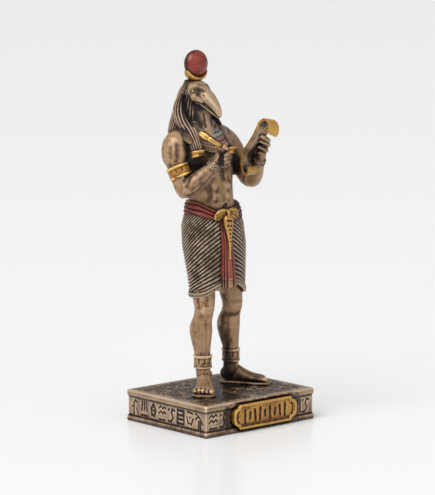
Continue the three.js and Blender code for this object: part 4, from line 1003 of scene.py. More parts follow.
def collar_place(angle, share):
    """Where the collar's beaded surface lies."""
    wide, deep, side_level, front_level = row_values(COLLAR_ROWS, share)
    front = np.clip(np.cos(angle), 0, 1) ** 2
    # Bead rows lie side by side from the rim to the neck, and the wash parts each from the next.
    row = share * COLLAR_BEAD_ROWS
    bead = angle / (2 * math.pi) * COLLAR_BEADS
    between_rows = np.exp(-(((row % 1) - 0.5) / 0.14) ** 2)
    between_beads = np.exp(-(((bead % 1) - 0.5) / 0.16) ** 2)
    relief = np.clip(0.8 * between_rows + 0.5 * between_beads, 0, 1) * (share > COLLAR_FIRST_ROW)
    x = CHEST_X + (wide - COLLAR_BEAD_DEPTH * relief) * np.sin(angle)
    depth = np.where(np.cos(angle) > 0, deep, deep * 0.7) - COLLAR_BEAD_DEPTH * relief
    y = COLLAR_Y - depth * np.cos(angle)
    z = side_level + (front_level - side_level) * front
    # Between the hair and the shoulder's rim the beads are darkened with painted shade from the hair.
    shaded = 0.75 * np.exp(-(((angle + 1.35) / 0.55) ** 2)) * (share > 0.42) * (share < 0.9)
    return x, y, z, np.maximum(relief * 0.4, shaded)


collar = wrapped("broad_collar", 420, 56, collar_place)


def banded_resin(name, stops, metal, roughness):
    """Paint in bands: the colours follow the piece's band attribute from 0 to 1."""
    material = washed_resin(name, "808080", "b9ada3", metal, roughness, patches=0.4)
    tree = material.node_tree
    band = add_node(tree, "Attribute", {"attribute_name": "band"}).outputs["Fac"]
    ramp = add_node(tree, "ValToRGB", {}, {"Fac": band})
    ramp.color_ramp.interpolation = "CONSTANT"
    elements = ramp.color_ramp.elements
    while len(elements) < len(stops):
        elements.new(0.5)
    for element, (position, colour) in zip(elements, stops):
        element.position = position
        element.color = linear(colour)
    for node in tree.nodes:
        if node.type == "MIX" and not node.inputs[6].is_linked:
            tree.links.new(ramp.outputs["Color"], node.inputs[6])
    return material


# The bands follow the collar's oval seen from above, from 0 at its middle to 1 at its rim.
COLLAR_RIM_WIDE = 8.4
COLLAR_RIM_DEEP = 6.2
places, _ = surface(collar)
from_middle = np.hypot(
    (places[:, 0] / MM - CHEST_X) / COLLAR_RIM_WIDE, (places[:, 1] / MM - COLLAR_Y) / COLLAR_RIM_DEEP
)
set_values(collar, "band", np.clip(from_middle, 0, 1))
# Collar paint: matt colours brushed on in bands, worn to pale grey on the beads' tops.
collar_paint = banded_resin(
    "painted collar beads",
    [(0.0, "7d6a5a"), (0.58, "87979a"), (0.79, "883830"), (0.89, "83727a"), (0.94, "b08139")],
    0.25,
    0.45,
)
finish_piece(collar, collar_paint)

# Kilt
# A knee-length kilt of fine pleats wrapped across, modelled in the casting: flat ribs about a millimetre
# apart sweep down from the middle of the front, with a plain hem band and the wash dark between them.
KILT_ROWS = [
    [1.0, 2.0, 14, 7.2, 5.0],
    [0.9, 2.0, 20.6, 7.15, 5.0],
    [0.6, 2.2, 27.4, 7.7, 5.35],
    [0.25, 2.6, 34, 8.4, 5.75],
    [0.05, 2.9, 38.5, 8.15, 5.65],
    [0.0, 2.95, 42.4, 6.9, 5.05],
    [0.0, 3.0, 45.4, 6.2, 4.65],
]
HEM_SIDE = 21.8
HEM_FRONT = 25.0
KILT_TOP = 42.6
PLEAT_PITCH = 1.09
PLEAT_DEPTH = 0.36
HEM_BAND = 1.35
CLOTH_THICKNESS = 0.75
KILT_ROUND = 6.8
TURN_IN_UP = 3.0
TURN_IN_END = 0.06
OUTSIDE_START = 0.07
OUTSIDE_SPAN = 0.93
PLEAT_GROOVE = 0.21
HEM_GROOVE = 0.16
WRAP_EDGE_GROOVE = 0.035
SLOPE_LOW = 0.42
SLOPE_HIGH = 0.88
SLOPE_START = 25
SLOPE_SPAN = 17
LEVEL_ANGLE = 1.9
WRAP_EDGE_ANGLE = 0.34


def kilt_cloth(angle, z, out):
    """Where the kilt's cloth lies at angles and heights, out by so many millimetres."""
    rows = np.array(KILT_ROWS)
    x, y, wide, deep = (np.interp(z, rows[:, 2], rows[:, k]) for k in (0, 1, 3, 4))
    return x + (wide + out) * np.sin(angle), y - (deep + out) * np.cos(angle)


def kilt_place(angle, share):
    """The kilt's surface: a short way down the inside of the hem, then up the outside."""
    hem = HEM_SIDE + (HEM_FRONT - HEM_SIDE) * np.clip(np.cos(angle), 0, 1) ** 3
    inner = share < TURN_IN_END
    up = np.clip((share - OUTSIDE_START) / OUTSIDE_SPAN, 0, 1)
    inner_z = hem + TURN_IN_UP * (1 - share / TURN_IN_END)
    z = np.where(inner, inner_z, hem + (KILT_TOP - hem) * up)
    # Behind the hips the pleats run nearly level, and the two sides meet.
    away = LEVEL_ANGLE * np.tanh((np.abs(angle) / LEVEL_ANGLE) ** 3) ** (1 / 3)
    wander = 0.14 * np.sin(2 * angle + 0.35 * z) + 0.08 * np.sin(5 * angle - 0.6 * z)
    # A pleat that starts high in front falls more steeply round the side than one that starts low.
    low_slope = SLOPE_LOW - (SLOPE_HIGH - SLOPE_LOW) * SLOPE_START / SLOPE_SPAN
    rise = (SLOPE_HIGH - SLOPE_LOW) / SLOPE_SPAN
    start = (z + KILT_ROUND * away * low_slope) / (1 - KILT_ROUND * away * rise)
    pleat = start / PLEAT_PITCH + wander
    groove = np.exp(-((((pleat % 1) - 0.5) / PLEAT_GROOVE) ** 2))
    above_hem = np.clip((z - hem - HEM_BAND) / 0.15, 0, 1)
    hem_line = np.exp(-(((z - hem - HEM_BAND) / HEM_GROOVE) ** 2))
    depth = np.maximum(groove * above_hem, hem_line)
    # The wrap's edge beside the sash is a crease from top to hem.
    aside = angle + WRAP_EDGE_ANGLE - 0.01 * (z - 24)
    edge = np.exp(-((aside / WRAP_EDGE_GROOVE) ** 2)) * above_hem
    depth = np.maximum(depth, edge)
    out = 0.15 + 0.2 * (1 - above_hem) - PLEAT_DEPTH * depth
    out = np.where(inner, -CLOTH_THICKNESS, np.where(share < OUTSIDE_START, -0.1, out))
    x, y = kilt_cloth(angle, z, out)
    wash = np.maximum(groove * above_hem, np.maximum(edge, hem_line * 0.5)) * 0.9
    return x, y, z, np.where(inner, 1.0, wash)


kilt = wrapped("pleated_kilt", 320, 190, kilt_place)
# Broad painted shade over the front of the right hip and down the kilt's right side.
press(
    kilt,
    [
        ([(-6.6, -1.0, 38.0), (-5.0, -2.2, 33.5), (-4.2, -2.6, 29.0)], 2.8, 0.0, 0.4),
        ([(-7.6, 0.8, 38.0), (-7.4, 0.6, 26.0)], 1.8, 0.0, 0.3),
    ],
    3.0,
)
# Kilt: the bronze a duller grey tan than the skin, rubbed on the pleats and almost black between them.
kilt_bronze = washed_resin("pleated bronze kilt", "746450", "b9a48b", 0.3, 0.46)
finish_piece(kilt, kilt_bronze)

# Belt
# A broad belt of cloth in soft twisted folds, modelled in the casting, which dips in front. It is
# painted a brick red that wears to pink on the folds and goes nearly black between them.
BELT_LEVEL = 41.15
BELT_HEIGHT = 2.9
BELT_FOLDS = 3
BELT_DIP = 1.9
BELT_TURN_IN = 0.04
BELT_FACE = 0.92


def belt_place(angle, share):
    """The belt's folds, which climb and cross a little on their way round, with painted shade on the
    figure's left of the clasp."""
    dip = BELT_DIP * np.clip(np.cos(angle), 0, 1) ** 2
    rise = np.clip((share - BELT_TURN_IN) / BELT_FACE, 0, 1)
    z = BELT_LEVEL - dip - 0.35 * np.sin(angle) + rise * BELT_HEIGHT
    fold = rise * BELT_FOLDS + 0.6 * np.sin(angle + 0.5) + 0.25 * np.sin(angle * 4 + 3 * rise)
    crease = 1 - np.abs(np.sin(math.pi * fold)) ** 0.6
    out = 0.5 - 0.5 * crease - 0.25 * (2 * rise - 1) ** 4
    out = np.where((share < BELT_TURN_IN) | (share > BELT_TURN_IN + BELT_FACE), -0.9, out)
    x, y = kilt_cloth(angle, z, out)
    tired = 0.25 * np.sin(angle * 5 + 2) * np.sin(z * 1.7)
    # Painted shade on the side turned from the light, the figure's left of the clasp.
    shaded = 0.5 * np.clip((angle - 0.25) / 0.3, 0, 1) * (angle < 1.6)
    return x, y, z, np.maximum(crease * 0.5 + tired, shaded)


belt = wrapped("belt", 260, 44, belt_place)
# Brick red paint with a little bronze showing through it.
brick_red = washed_resin(
    "brick red paint", "72241a", "aa5845", 0.15, 0.4, brown="40110b", deep="170604"
)
finish_piece(belt, brick_red)

# Sash
# The belt's end, cast on the front of the kilt, hangs to the knees as a flat red tail in lengthwise
# folds, wider at the foot, where it ends in a ribbed fringe picked out in gold.
SASH_FOLDS = 4
FRINGE_RIBS = 11


def sash_folds(turn, share):
    """Lengthwise folds on the tail's front and back, the same from top to foot."""
    swing = math.sin(2 * math.pi * turn)
    return -0.22 * (1 - abs(math.cos(math.pi * SASH_FOLDS * 0.5 * (swing + 1)))) ** 1.2


sash_rows = [
    [-0.9, -1.4, 41.4, 1.1, 1.0],
    [-0.9, -2.3, 38.5, 1.45, 1.05],
    [-0.8, -2.8, 34.5, 1.6, 1.05],
    [-0.55, -2.95, 30.0, 1.9, 1.0],
    [-0.35, -2.95, 26.4, 2.1, 1.0],
]
sash = limb(sash_rows, level=True, sides=90, steps=10, carve=sash_folds, square=3.5)
sash.name = "sash_tail"
bpy.ops.object.shade_smooth()
finish_piece(sash, brick_red)
fringe_rows = [
    [-0.35, -2.95, 26.7, 2.05, 0.95],
    [-0.35, -2.95, 26.4, 2.2, 1.1],
    [-0.32, -2.95, 26.0, 2.1, 1.02],
    [-0.3, -2.95, 24.7, 2.2, 1.08],
    [-0.3, -2.95, 24.3, 2.05, 0.95],
]
fringe = limb(
    fringe_rows,
    level=True,
    sides=110,
    steps=5,
    carve=lambda turn, share: -0.32 * (1 - abs(math.cos(math.pi * FRINGE_RIBS * turn))) ** 0.8,
    square=3.5,
)
fringe.name = "sash_fringe"
bpy.ops.object.shade_smooth()
# Fringe: gold brushed thinly over the bronze, so that only the ribs show tan and yellow.
worn_gold = washed_resin("worn gold on bronze", "75493a", "b88a66", 0.35, 0.4)
finish_piece(fringe, worn_gold)

# Girdle clasp
# A gold clasp on the front of the belt: a knot between two ribbed wings, and a long tapering pendant
# with set stones that lies on the sash. It is cast on and painted antique gold.
CLASP_X = -0.75
WINGS = (-0.8, 1.0)
wing_rows = [
    [0.3, -3.2, 41.7, 0.5, 0.5],
    [1.2, -3.15, 41.9, 0.95, 0.6],
    [2.4, -2.9, 41.5, 1.15, 0.55],
    [3.3, -2.5, 40.8, 0.95, 0.45],
    [3.8, -2.3, 40.3, 0.45, 0.25],
]
pendant_rows = [
    [-1.1, -3.5, 41.2, 0.95, 0.5],
    [-1.1, -3.9, 40.4, 1.3, 0.6],
    [-1.05, -4.0, 39.0, 1.2, 0.55],
    [-0.95, -4.0, 37.6, 0.85, 0.5],
    [-0.8, -4.0, 36.2, 0.6, 0.4],
    [-0.7, -4.0, 34.6, 0.35, 0.3],
    [-0.6, -3.95, 31.0, 0.22, 0.2],
]
clasp_forms = [lump((CLASP_X, -3.3, 41.7), (0.7, 0.65, 0.9))]
for wing in WINGS:
    clasp_forms.append(limb(mirrored(CLASP_X, wing, wing_rows), sides=24, steps=5))
clasp_forms.append(limb(pendant_rows, sides=24, steps=4, square=3))
clasp = cast("girdle_clasp", clasp_forms, 0.12, 1)
clasp_strokes = []
for wing in WINGS:
    # Ribs fan out along each wing.
    for fan in (-0.75, -0.25, 0.25, 0.75):
        rib = [
            (1.0, -3.8, 41.8 + fan * 0.5),
            (2.4, -3.5, 41.4 + fan * 0.9),
            (3.7, -2.8, 40.6 + fan * 0.9),
        ]
        clasp_strokes.append((mirrored(CLASP_X, wing, rib), 0.13, 0.16, 0.6))
# Grooves beside the knot, and the stones and bars of the pendant.
clasp_strokes += [
    ([(CLASP_X - 0.75, -3.9, 42.4), (CLASP_X - 0.7, -3.9, 41.2)], 0.2, 0.25, 0.9),
    ([(CLASP_X + 0.75, -3.9, 42.4), (CLASP_X + 0.7, -3.9, 41.2)], 0.2, 0.25, 0.9),
    ([(-1.9, -4.6, 40.3), (-1.5, -4.7, 39.9), (-1.1, -4.7, 40.2), (-0.4, -4.7, 39.9)], 0.2, 0.3, 0.95),
    ([(-1.6, -4.7, 38.9), (-1.5, -4.7, 38.9)], 0.28, 0.35, 1.0),
    ([(-0.6, -4.7, 38.8), (-0.5, -4.7, 38.8)], 0.28, 0.35, 1.0),
    ([(-1.4, -4.7, 37.8), (-1.0, -4.7, 38.1), (-0.6, -4.7, 37.8)], 0.16, 0.25, 0.9),
    ([(-0.95, -4.6, 36.9), (-0.8, -4.6, 36.9)], 0.24, 0.3, 1.0),
    ([(-1.2, -4.5, 36.0), (-0.5, -4.5, 36.0)], 0.14, 0.2, 0.8),
    ([(-0.75, -4.4, 35.2), (-0.65, -4.4, 35.1)], 0.2, 0.2, 0.9),
]
press(clasp, clasp_strokes, 1.0)
finish_piece(clasp, antique_gold)

# Armlets, bracelets and anklets
# Ring ornaments cast on the limbs: a gold armlet with pressed marks between two rims on each upper arm,
# a bracelet of three bead rows on each wrist, and a bronze anklet with etched marks on each leg.


def ring_band(centre, along, radius, height, profile, carve=None, sides=80, steps=1):
    """A band round a limb. The profile's rows are a share of the height from the middle, and how far
    out it stands in millimetres."""
    along = Vector(along).normalized()
    rows = []
    for share, out in profile:
        place = Vector(centre) + along * (share * height)
        rows.append([*place, radius + out, radius + out])
    return limb(rows, (0.2, -1, 0.1), sides=sides, steps=steps, carve=carve)


ARMLET_PROFILE = [
    (-0.5, -0.5), (-0.5, 0.18), (-0.44, 0.34), (-0.32, 0.34), (-0.27, 0.16), (-0.18, 0.14),
    (-0.09, 0.14), (0.0, 0.14), (0.09, 0.14), (0.18, 0.14), (0.27, 0.16), (0.32, 0.34),
    (0.44, 0.34), (0.5, 0.18), (0.5, -0.5),
]


def pressed_marks(turn, share):
    """Short upright marks pressed in between the rims."""
    if not 0.38 < share < 0.66:
        return 0
    return -0.14 * max(0.0, math.cos(2 * math.pi * 11 * turn)) ** 3


armlet_places = [
    ((-9.85, 3.2, 51.5), (-0.2, 0.42, 1), 2.45),
    ((8.8, 3.0, 51.8), (-0.4, 0.42, 1), 2.5),
]
armlet_forms = [
    ring_band(centre, along, radius, 2.9, ARMLET_PROFILE, pressed_marks, 132)
    for centre, along, radius in armlet_places
]
armlets = joined("armlets", armlet_forms)
press(
    armlets,
    [
        # Painted shade on the inner side of the left armlet and under the lower rim of the right one.
        ([(6.4, 1.8, 51.0), (7.6, 0.6, 52.2)], 2.0, 0.0, 1.0),
        ([(-12.2, 1.8, 50.2), (-10.6, 0.6, 50.0), (-9.0, 0.8, 50.2)], 0.6, 0.0, 0.45),
    ],
)
finish_piece(armlets, antique_gold)

BEAD_RADIUS = 0.27
BEADS_ROUND = 14
BEAD_ROW_PITCH = 0.52
clear_selection()
bpy.ops.mesh.primitive_ico_sphere_add(subdivisions=2, radius=BEAD_RADIUS * MM)
one_bead = bpy.context.object
BRACELET_PROFILE = [(-0.5, -0.3), (-0.5, 0.05), (0.5, 0.05), (0.5, -0.3)]
bead_forms = []
wrists = [
    ((-5.25, -3.4, 52.95), (1.3, -1.0, 1.5), 1.42),
    ((8.25, -4.25, 53.2), (-0.4, -1.2, 1.6), 1.3),
]
for centre, along, radius in wrists:
    along = Vector(along).normalized()
    across = along.cross(Vector((0, -1, 0.2))).normalized()
    out = across.cross(along)
    for row in (-1, 0, 1):
        for number in range(BEADS_ROUND):
            angle = 2 * math.pi * (number + 0.5 * (row % 2)) / BEADS_ROUND
            offset = across * math.sin(angle) + out * math.cos(angle)
            place = Vector(centre) + along * (row * BEAD_ROW_PITCH) + offset * radius
            bead = one_bead.copy()
            bead.data = one_bead.data.copy()
            bead.data.transform(Matrix.Translation(spot(*place)))
            bpy.context.scene.collection.objects.link(bead)
            bead_forms.append(bead)
    bead_forms.append(ring_band(centre, along, radius - 0.06, 1.7, BRACELET_PROFILE))
bpy.data.objects.remove(one_bead)
bracelets = joined("bracelets", bead_forms)
# Beads: bronze under dark wash, with only the tops of the beads rubbed bright.
dark_beads = washed_resin("dark washed beads", "3c2d20", "b8a288", 0.35, 0.36)
finish_piece(bracelets, dark_beads)

ANKLET_PROFILE = [
    (-0.5, -0.5), (-0.5, 0.14), (-0.46, 0.2), (-0.38, 0.2), (-0.34, 0.08), (-0.1, 0.08),
    (0.1, 0.08), (0.28, 0.08), (0.32, 0.22), (0.44, 0.22), (0.5, 0.12), (0.5, -0.5),
]


def etched_marks(turn, share):
    """Short pressed marks round the middle of the band."""
    if not 0.42 < share < 0.62:
        return 0
    return -0.16 * max(0.0, math.cos(2 * math.pi * 9 * turn)) ** 2


anklet_forms = [
    ring_band((x, y, 6.9), (0, 0, 1), 1.98, 3.0, ANKLET_PROFILE, etched_marks, 96, 2)
    for x, y in [(-4.65, 1.0), (6.15, 3.25)]
]
anklets = joined("anklets", anklet_forms)
press(
    anklets,
    [
        # Painted shade on the left anklet's inner side.
        ([(4.3, 2.4, 8.2), (4.4, 2.4, 5.6)], 1.3, 0.0, 0.85),
        ([(-6.0, -0.4, 6.6), (-5.4, -0.8, 6.8), (-4.4, -1.0, 6.5)], 0.4, 0.0, 0.45),
    ],
)
finish_piece(anklets, bare_bronze)

# Scroll
# An unrolled sheet, cast with the left hand, that curls forward at its foot and over at its head. Its
# face is a bare parchment colour, and its edges, its back and the lips of the curls are painted gold.
SCROLL_LINE = [
    (-5.1, 52.1), (-5.35, 51.4), (-5.05, 50.75), (-4.4, 50.5), (-3.7, 50.8), (-3.2, 51.8),
    (-3.0, 53.6), (-3.4, 55.3), (-5.2, 57.4), (-7.3, 59.9), (-8.4, 61.7), (-9.0, 62.8),
    (-9.9, 63.5), (-11.0, 63.4), (-11.7, 62.6), (-11.6, 61.6), (-10.9, 61.0), (-10.3, 61.5),
]
SCROLL_MIDDLE_X = 5.7
SCROLL_HALF_WIDTH = 2.1
SCROLL_SHEET = 0.72
SCROLL_SIDES = 48
FOOT_LEVEL = 54.0
FOOT_NARROWING = 0.27
FOOT_SKEW = 0.08
HEAD_Y = -8.6
HEAD_LEVEL = 63.5
HEAD_NARROWING = 0.26
HEAD_DROOP = 0.17
HEAD_SPREAD = 0.06
scroll = limb(
    [[SCROLL_MIDDLE_X, y, z, SCROLL_SHEET / 2, SCROLL_HALF_WIDTH] for y, z in SCROLL_LINE],
    (1, 0, 0),
    sides=SCROLL_SIDES,
    steps=7,
    square=7,
)
scroll.name = "scroll"
bpy.ops.object.shade_smooth()
# The sheet narrows at both curls, and the roll at the head droops towards its far end.
places, _ = surface(scroll)
across = places[:, 0] / MM - (SCROLL_MIDDLE_X - SCROLL_HALF_WIDTH)
foot = np.clip((FOOT_LEVEL - (places[:, 2] - SOLE_LEVEL) / MM) / 2.5, 0, 1)
top = np.clip((HEAD_Y - places[:, 1] / MM) / 1.2, 0, 1)
moved = places.copy()
moved[:, 0] -= foot * across * FOOT_NARROWING * MM
moved[:, 1] += foot * across * FOOT_SKEW * MM
moved[:, 0] -= top * (across - SCROLL_HALF_WIDTH) * HEAD_NARROWING * MM
high = (places[:, 2] - SOLE_LEVEL) / MM - HEAD_LEVEL
moved[:, 2] += top * across * (HEAD_SPREAD * high - HEAD_DROOP) * MM
scroll.data.vertices.foreach_set("co", moved.ravel())
# Painted shade lies in the lower curl, under the roll and beside the fingers, and a line of wash runs
# along the near edge.
inner_curl = 0.7 * np.clip(foot * 1.2 - 0.3, 0, 1) * (across < 1.6)
near_line = 0.42 * np.exp(-(((across - 0.45) / 0.25) ** 2))
under_roll = 0.6 * np.clip((high + 3.0) / 2.6, 0, 1)
by_fingers = 0.75 * np.exp(-(((across - 2.9) / 1.0) ** 2)) * np.exp(-(((high + 8.0) / 2.4) ** 2))
set_values(scroll, "wash_and_shade", np.maximum.reduce([inner_curl, near_line, under_roll, by_fingers]))
# Parchment: flat matt paint in a pale tan, left brown and streaky by the wash.
parchment = washed_resin("parchment paint", "a98f72", "cfb99a", 0.15, 0.5, patches=0.7)
finish_piece(scroll, parchment)
# The sheet's face keeps the parchment, and its back and edges are gold.
scroll.data.materials.append(antique_gold)
turn_of = np.empty(len(scroll.data.vertices), np.int32)
scroll.data.attributes["turn"].data.foreach_get("value", turn_of)
for face in scroll.data.polygons:
    angles = [2 * math.pi * turn_of[v] / SCROLL_SIDES for v in face.vertices]
    middle = math.atan2(sum(map(math.sin, angles)), sum(map(math.cos, angles)))
    face.material_index = 0 if abs(abs(middle) - math.pi / 2) < 1.1 and middle < 0 else 1
# The gold of the roll and of the lower lip was painted over the wash, so it keeps a quarter of the
# wash and painted shade.
wash_and_shade = get_values(scroll, "wash_and_shade")
for face in scroll.data.polygons:
    if face.material_index == 1:
        wash_and_shade[list(face.vertices)] *= 0.25
wash_and_shade = np.maximum(wash_and_shade, 0.3 * (across < 0.2) * np.clip(-high - 1.5, 0, 1) * (foot < 0.9))
set_values(scroll, "wash_and_shade", wash_and_shade)

# Pen
# A reed pen with a broad gilded butt that tapers to the fingers. It is cast on to the thumb and first
# finger, which hold it as for writing.
PEN_BUTT = Vector((-6.4, -0.4, 60.4))
PEN_GRIP = Vector((-3.6, -4.8, 57.4))
pen_line = (PEN_GRIP - PEN_BUTT).normalized()
# Distances from the butt, and the radius there.
PEN_PROFILE = [
    (-0.35, 0.38), (-0.2, 0.69), (0.3, 0.9), (1.2, 1.06), (1.9, 0.94), (2.2, 0.78),
    (2.5, 0.88), (3.4, 0.81), (5.0, 0.63), (6.4, 0.31),
]
PEN_FLATNESS = 0.76
PEN_RIBS = 6
pen = limb(
    [
        [*(PEN_BUTT + pen_line * distance), radius, radius * PEN_FLATNESS]
        for distance, radius in PEN_PROFILE
    ],
    sides=28,
    steps=4,
    carve=lambda turn, share: -0.22 * (1 - abs(math.cos(math.pi * PEN_RIBS * turn))) * (1 - share),
)
pen.name = "pen"
bpy.ops.object.shade_smooth()
pen_top = [
    tuple(place + Vector((0, 0, rise)))
    for place, rise in ((PEN_BUTT, 0.9), (PEN_BUTT + pen_line * 2.4, 0.7), (PEN_GRIP, 0.5))
]
press(pen, [(pen_top, 0.32, 0.06, 0.8)])
finish_piece(pen, antique_gold)

# Moon disc
# The full moon in the crescent, on a short neck above the crown: a flattened ball painted dark red, held
# in a gold crescent that thins to its horns.
DISC_CENTRE = (HEAD_X, 6.0, 75.75)
DISC_RADIUS = 3.2
DISC_GRAIN = 0.15
disc = cast("moon_disc", [lump(DISC_CENTRE, (DISC_RADIUS, 2.1, DISC_RADIUS))], DISC_GRAIN, 2)
# Faint tool marks run across it, and the wash is thicker towards its rim.
disc_strokes = []
for number in range(9):
    level = DISC_CENTRE[2] + (number - 4) * 0.62
    for face in (-1, 1):
        line = [
            (
                DISC_CENTRE[0] + across,
                DISC_CENTRE[1] + face * 1.6,
                level + 0.2 * math.sin(across * 1.9 + number * 2.3),
            )
            for across in np.linspace(-2.2, 2.2, 9)
        ]
        disc_strokes.append((line, 0.13, 0.05, 0.2))
rim = [
    (
        DISC_CENTRE[0] + DISC_RADIUS * math.sin(s),
        DISC_CENTRE[1],
        DISC_CENTRE[2] + DISC_RADIUS * math.cos(s),
    )
    for s in np.linspace(-2.4, 1.2, 15)
]
disc_strokes.append((rim, 0.9, 0.0, 0.8))
press(disc, disc_strokes)
# Dark red: the belt's paint laid on smooth over the bronze, so that it shines a little more.
moon_red = washed_resin(
    "dark red paint", "7f271b", "ae5946", 0.15, 0.34, brown="521610", deep="200705"
)
finish_piece(disc, moon_red)
horns = []
for swing in np.radians(np.linspace(-64, 64, 15)):
    taper = math.cos(swing * 1.2)
    reach = DISC_RADIUS + 0.05 + 0.2 * taper
    horns.append(
        [
            DISC_CENTRE[0] + reach * math.sin(swing),
            DISC_CENTRE[1],
            DISC_CENTRE[2] - reach * math.cos(swing),
            0.14 + 0.42 * max(0.0, taper),
            0.2 + 1.5 * max(0.0, taper) ** 0.8,
        ]
    )
# The short neck stands on the crown.
stem_rows = [[HEAD_X, 6.2, 71.2, 1.4, 1.4], [HEAD_X, 6.0, 73.2, 0.9, 0.9]]
crescent_forms = [limb(horns), limb(stem_rows, level=True, sides=24)]
crescent = cast("crescent", crescent_forms, DISC_GRAIN, 2)
finish_piece(crescent, antique_gold)

# Plinth
# A low rectangular block of the same resin: a rounded top slab, a sunk frieze and a foot moulding. Its
# edges are rubbed tan, and its rough top is left dark and mottled by the wash.
plinth_low, plinth_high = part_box("plinth")
PLINTH_WIDTH = (plinth_high.x - plinth_low.x) / MM
PLINTH_DEPTH = (plinth_high.y - plinth_low.y) / MM
PLINTH_HEIGHT = (plinth_high.z - plinth_low.z) / MM
SLAB_THICKNESS = 1.5
SLAB_ROUNDING = 0.38
FOOT_THICKNESS = 1.3
FOOT_ROUNDING = 0.3
FRIEZE_DEPTH = 0.35
FRIEZE_GROOVE = 0.3
PLATE_WIDTH = 19.6
PLATE_HEIGHT = 5.7
PLATE_END = 1.9
PLATE_ASIDE = 0.95
POCKET_CLEARANCE = 0.3
PLINTH_GRAIN = 0.2
MARK_PITCH = 3.2
MARK_WIDTH = 0.8
MARK_HEIGHT = 0.95
MARK_DEPTH = 0.26
PIT_DEPTH = 0.3


def course(width, depth, low, high, round_over):
    """One course of the block, its arrises rounded over."""
    clear_selection()
    bpy.ops.mesh.primitive_cube_add(
        size=MM, location=(0, 0, (low + high) / 2 * MM), scale=(width, depth, high - low)
    )
    bpy.ops.object.transform_apply(location=True, rotation=True, scale=True)
    form = bpy.context.object
    if round_over:
        bpy.ops.object.mode_set(mode="EDIT")
        bpy.ops.mesh.select_all(action="SELECT")
        bpy.ops.mesh.bevel(offset=round_over * MM, segments=3, affect="EDGES")
        bpy.ops.object.mode_set(mode="OBJECT")
    return form


def plate_outline(grow):
    """The nameplate's outline in x and z: straight long sides, and ends that step in to a round."""
    x, z = PLATE_WIDTH / 2 + grow, PLATE_HEIGHT / 2 + grow
    step_in = PLATE_END * 0.72
    step_down = PLATE_END * 0.38
    corner = [(x - PLATE_END, z), (x - step_in, z - step_down)]
    curve = [
        (
            x - step_in * (1 - s) ** 2,
            (z - step_down) * (1 - s) ** 2 + 2 * s * (1 - s) * (z - PLATE_END * 0.5),
        )
        for s in np.linspace(0.15, 1, 9)
    ]
    quarter = corner + curve
    right = quarter + [(a, -b) for a, b in reversed(quarter[:-1])]
    whole = right + [(-a, -b) for a, b in right]
    return [(a + PLATE_ASIDE, b) for a, b in whole]


def upright_plate(outline, back, front):
    """A plate cut to an outline and standing across the front, between two depths."""
    middle = PLINTH_HEIGHT / 2
    clear_selection()
    bpy.ops.mesh.primitive_circle_add(
        vertices=len(outline), radius=MM, fill_type="NGON", enter_editmode=True
    )
    form = bpy.context.object
    drawn = bmesh.from_edit_mesh(form.data)
    for vert, (x, z) in zip(drawn.verts, outline):
        vert.co = (x * MM, back * MM, (middle + z) * MM)
    bpy.ops.mesh.select_all(action="SELECT")
    bpy.ops.mesh.extrude_region_move(TRANSFORM_OT_translate={"value": (0, (front - back) * MM, 0)})
    bpy.ops.mesh.select_all(action="SELECT")
    bpy.ops.mesh.normals_make_consistent(inside=False)
    bpy.ops.object.mode_set(mode="OBJECT")
    return form


def cut_from(form, tool):
    """Takes one form out of another."""
    cut = form.modifiers.new("cut", "BOOLEAN")
    cut.object = tool
    cut.operation = "DIFFERENCE"
    select_only(form)
    bpy.ops.object.modifier_apply(modifier=cut.name)
    return form


slab_low = PLINTH_HEIGHT - SLAB_THICKNESS
plate_low, plate_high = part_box("nameplate")
PLATE_BACK = plate_high.y / MM
PLATE_FRONT = plate_low.y / MM
# A foot, a top slab, the core whose edges show as grooves over and under the frieze, and the frieze.
frieze_in = 2 * FRIEZE_DEPTH
groove_in = 2 * (FRIEZE_DEPTH + FRIEZE_GROOVE)
courses = [
    course(PLINTH_WIDTH, PLINTH_DEPTH, 0, FOOT_THICKNESS, FOOT_ROUNDING),
    course(PLINTH_WIDTH, PLINTH_DEPTH, slab_low, PLINTH_HEIGHT, SLAB_ROUNDING),
    course(PLINTH_WIDTH - groove_in, PLINTH_DEPTH - groove_in, 0.5, PLINTH_HEIGHT - 0.5, 0),
    course(
        PLINTH_WIDTH - frieze_in,
        PLINTH_DEPTH - frieze_in,
        FOOT_THICKNESS + FRIEZE_GROOVE,
        slab_low - FRIEZE_GROOVE,
        0,
    ),
]
# The nameplate's pocket is cut through them all, and the cut runs out past the front.
pocket = upright_plate(plate_outline(POCKET_CLEARANCE), PLATE_BACK, PLATE_FRONT - 2)
for form in courses:
    cut_from(form, pocket)
bpy.data.objects.remove(pocket)
plinth = cast("plinth_block", courses, PLINTH_GRAIN, 1)

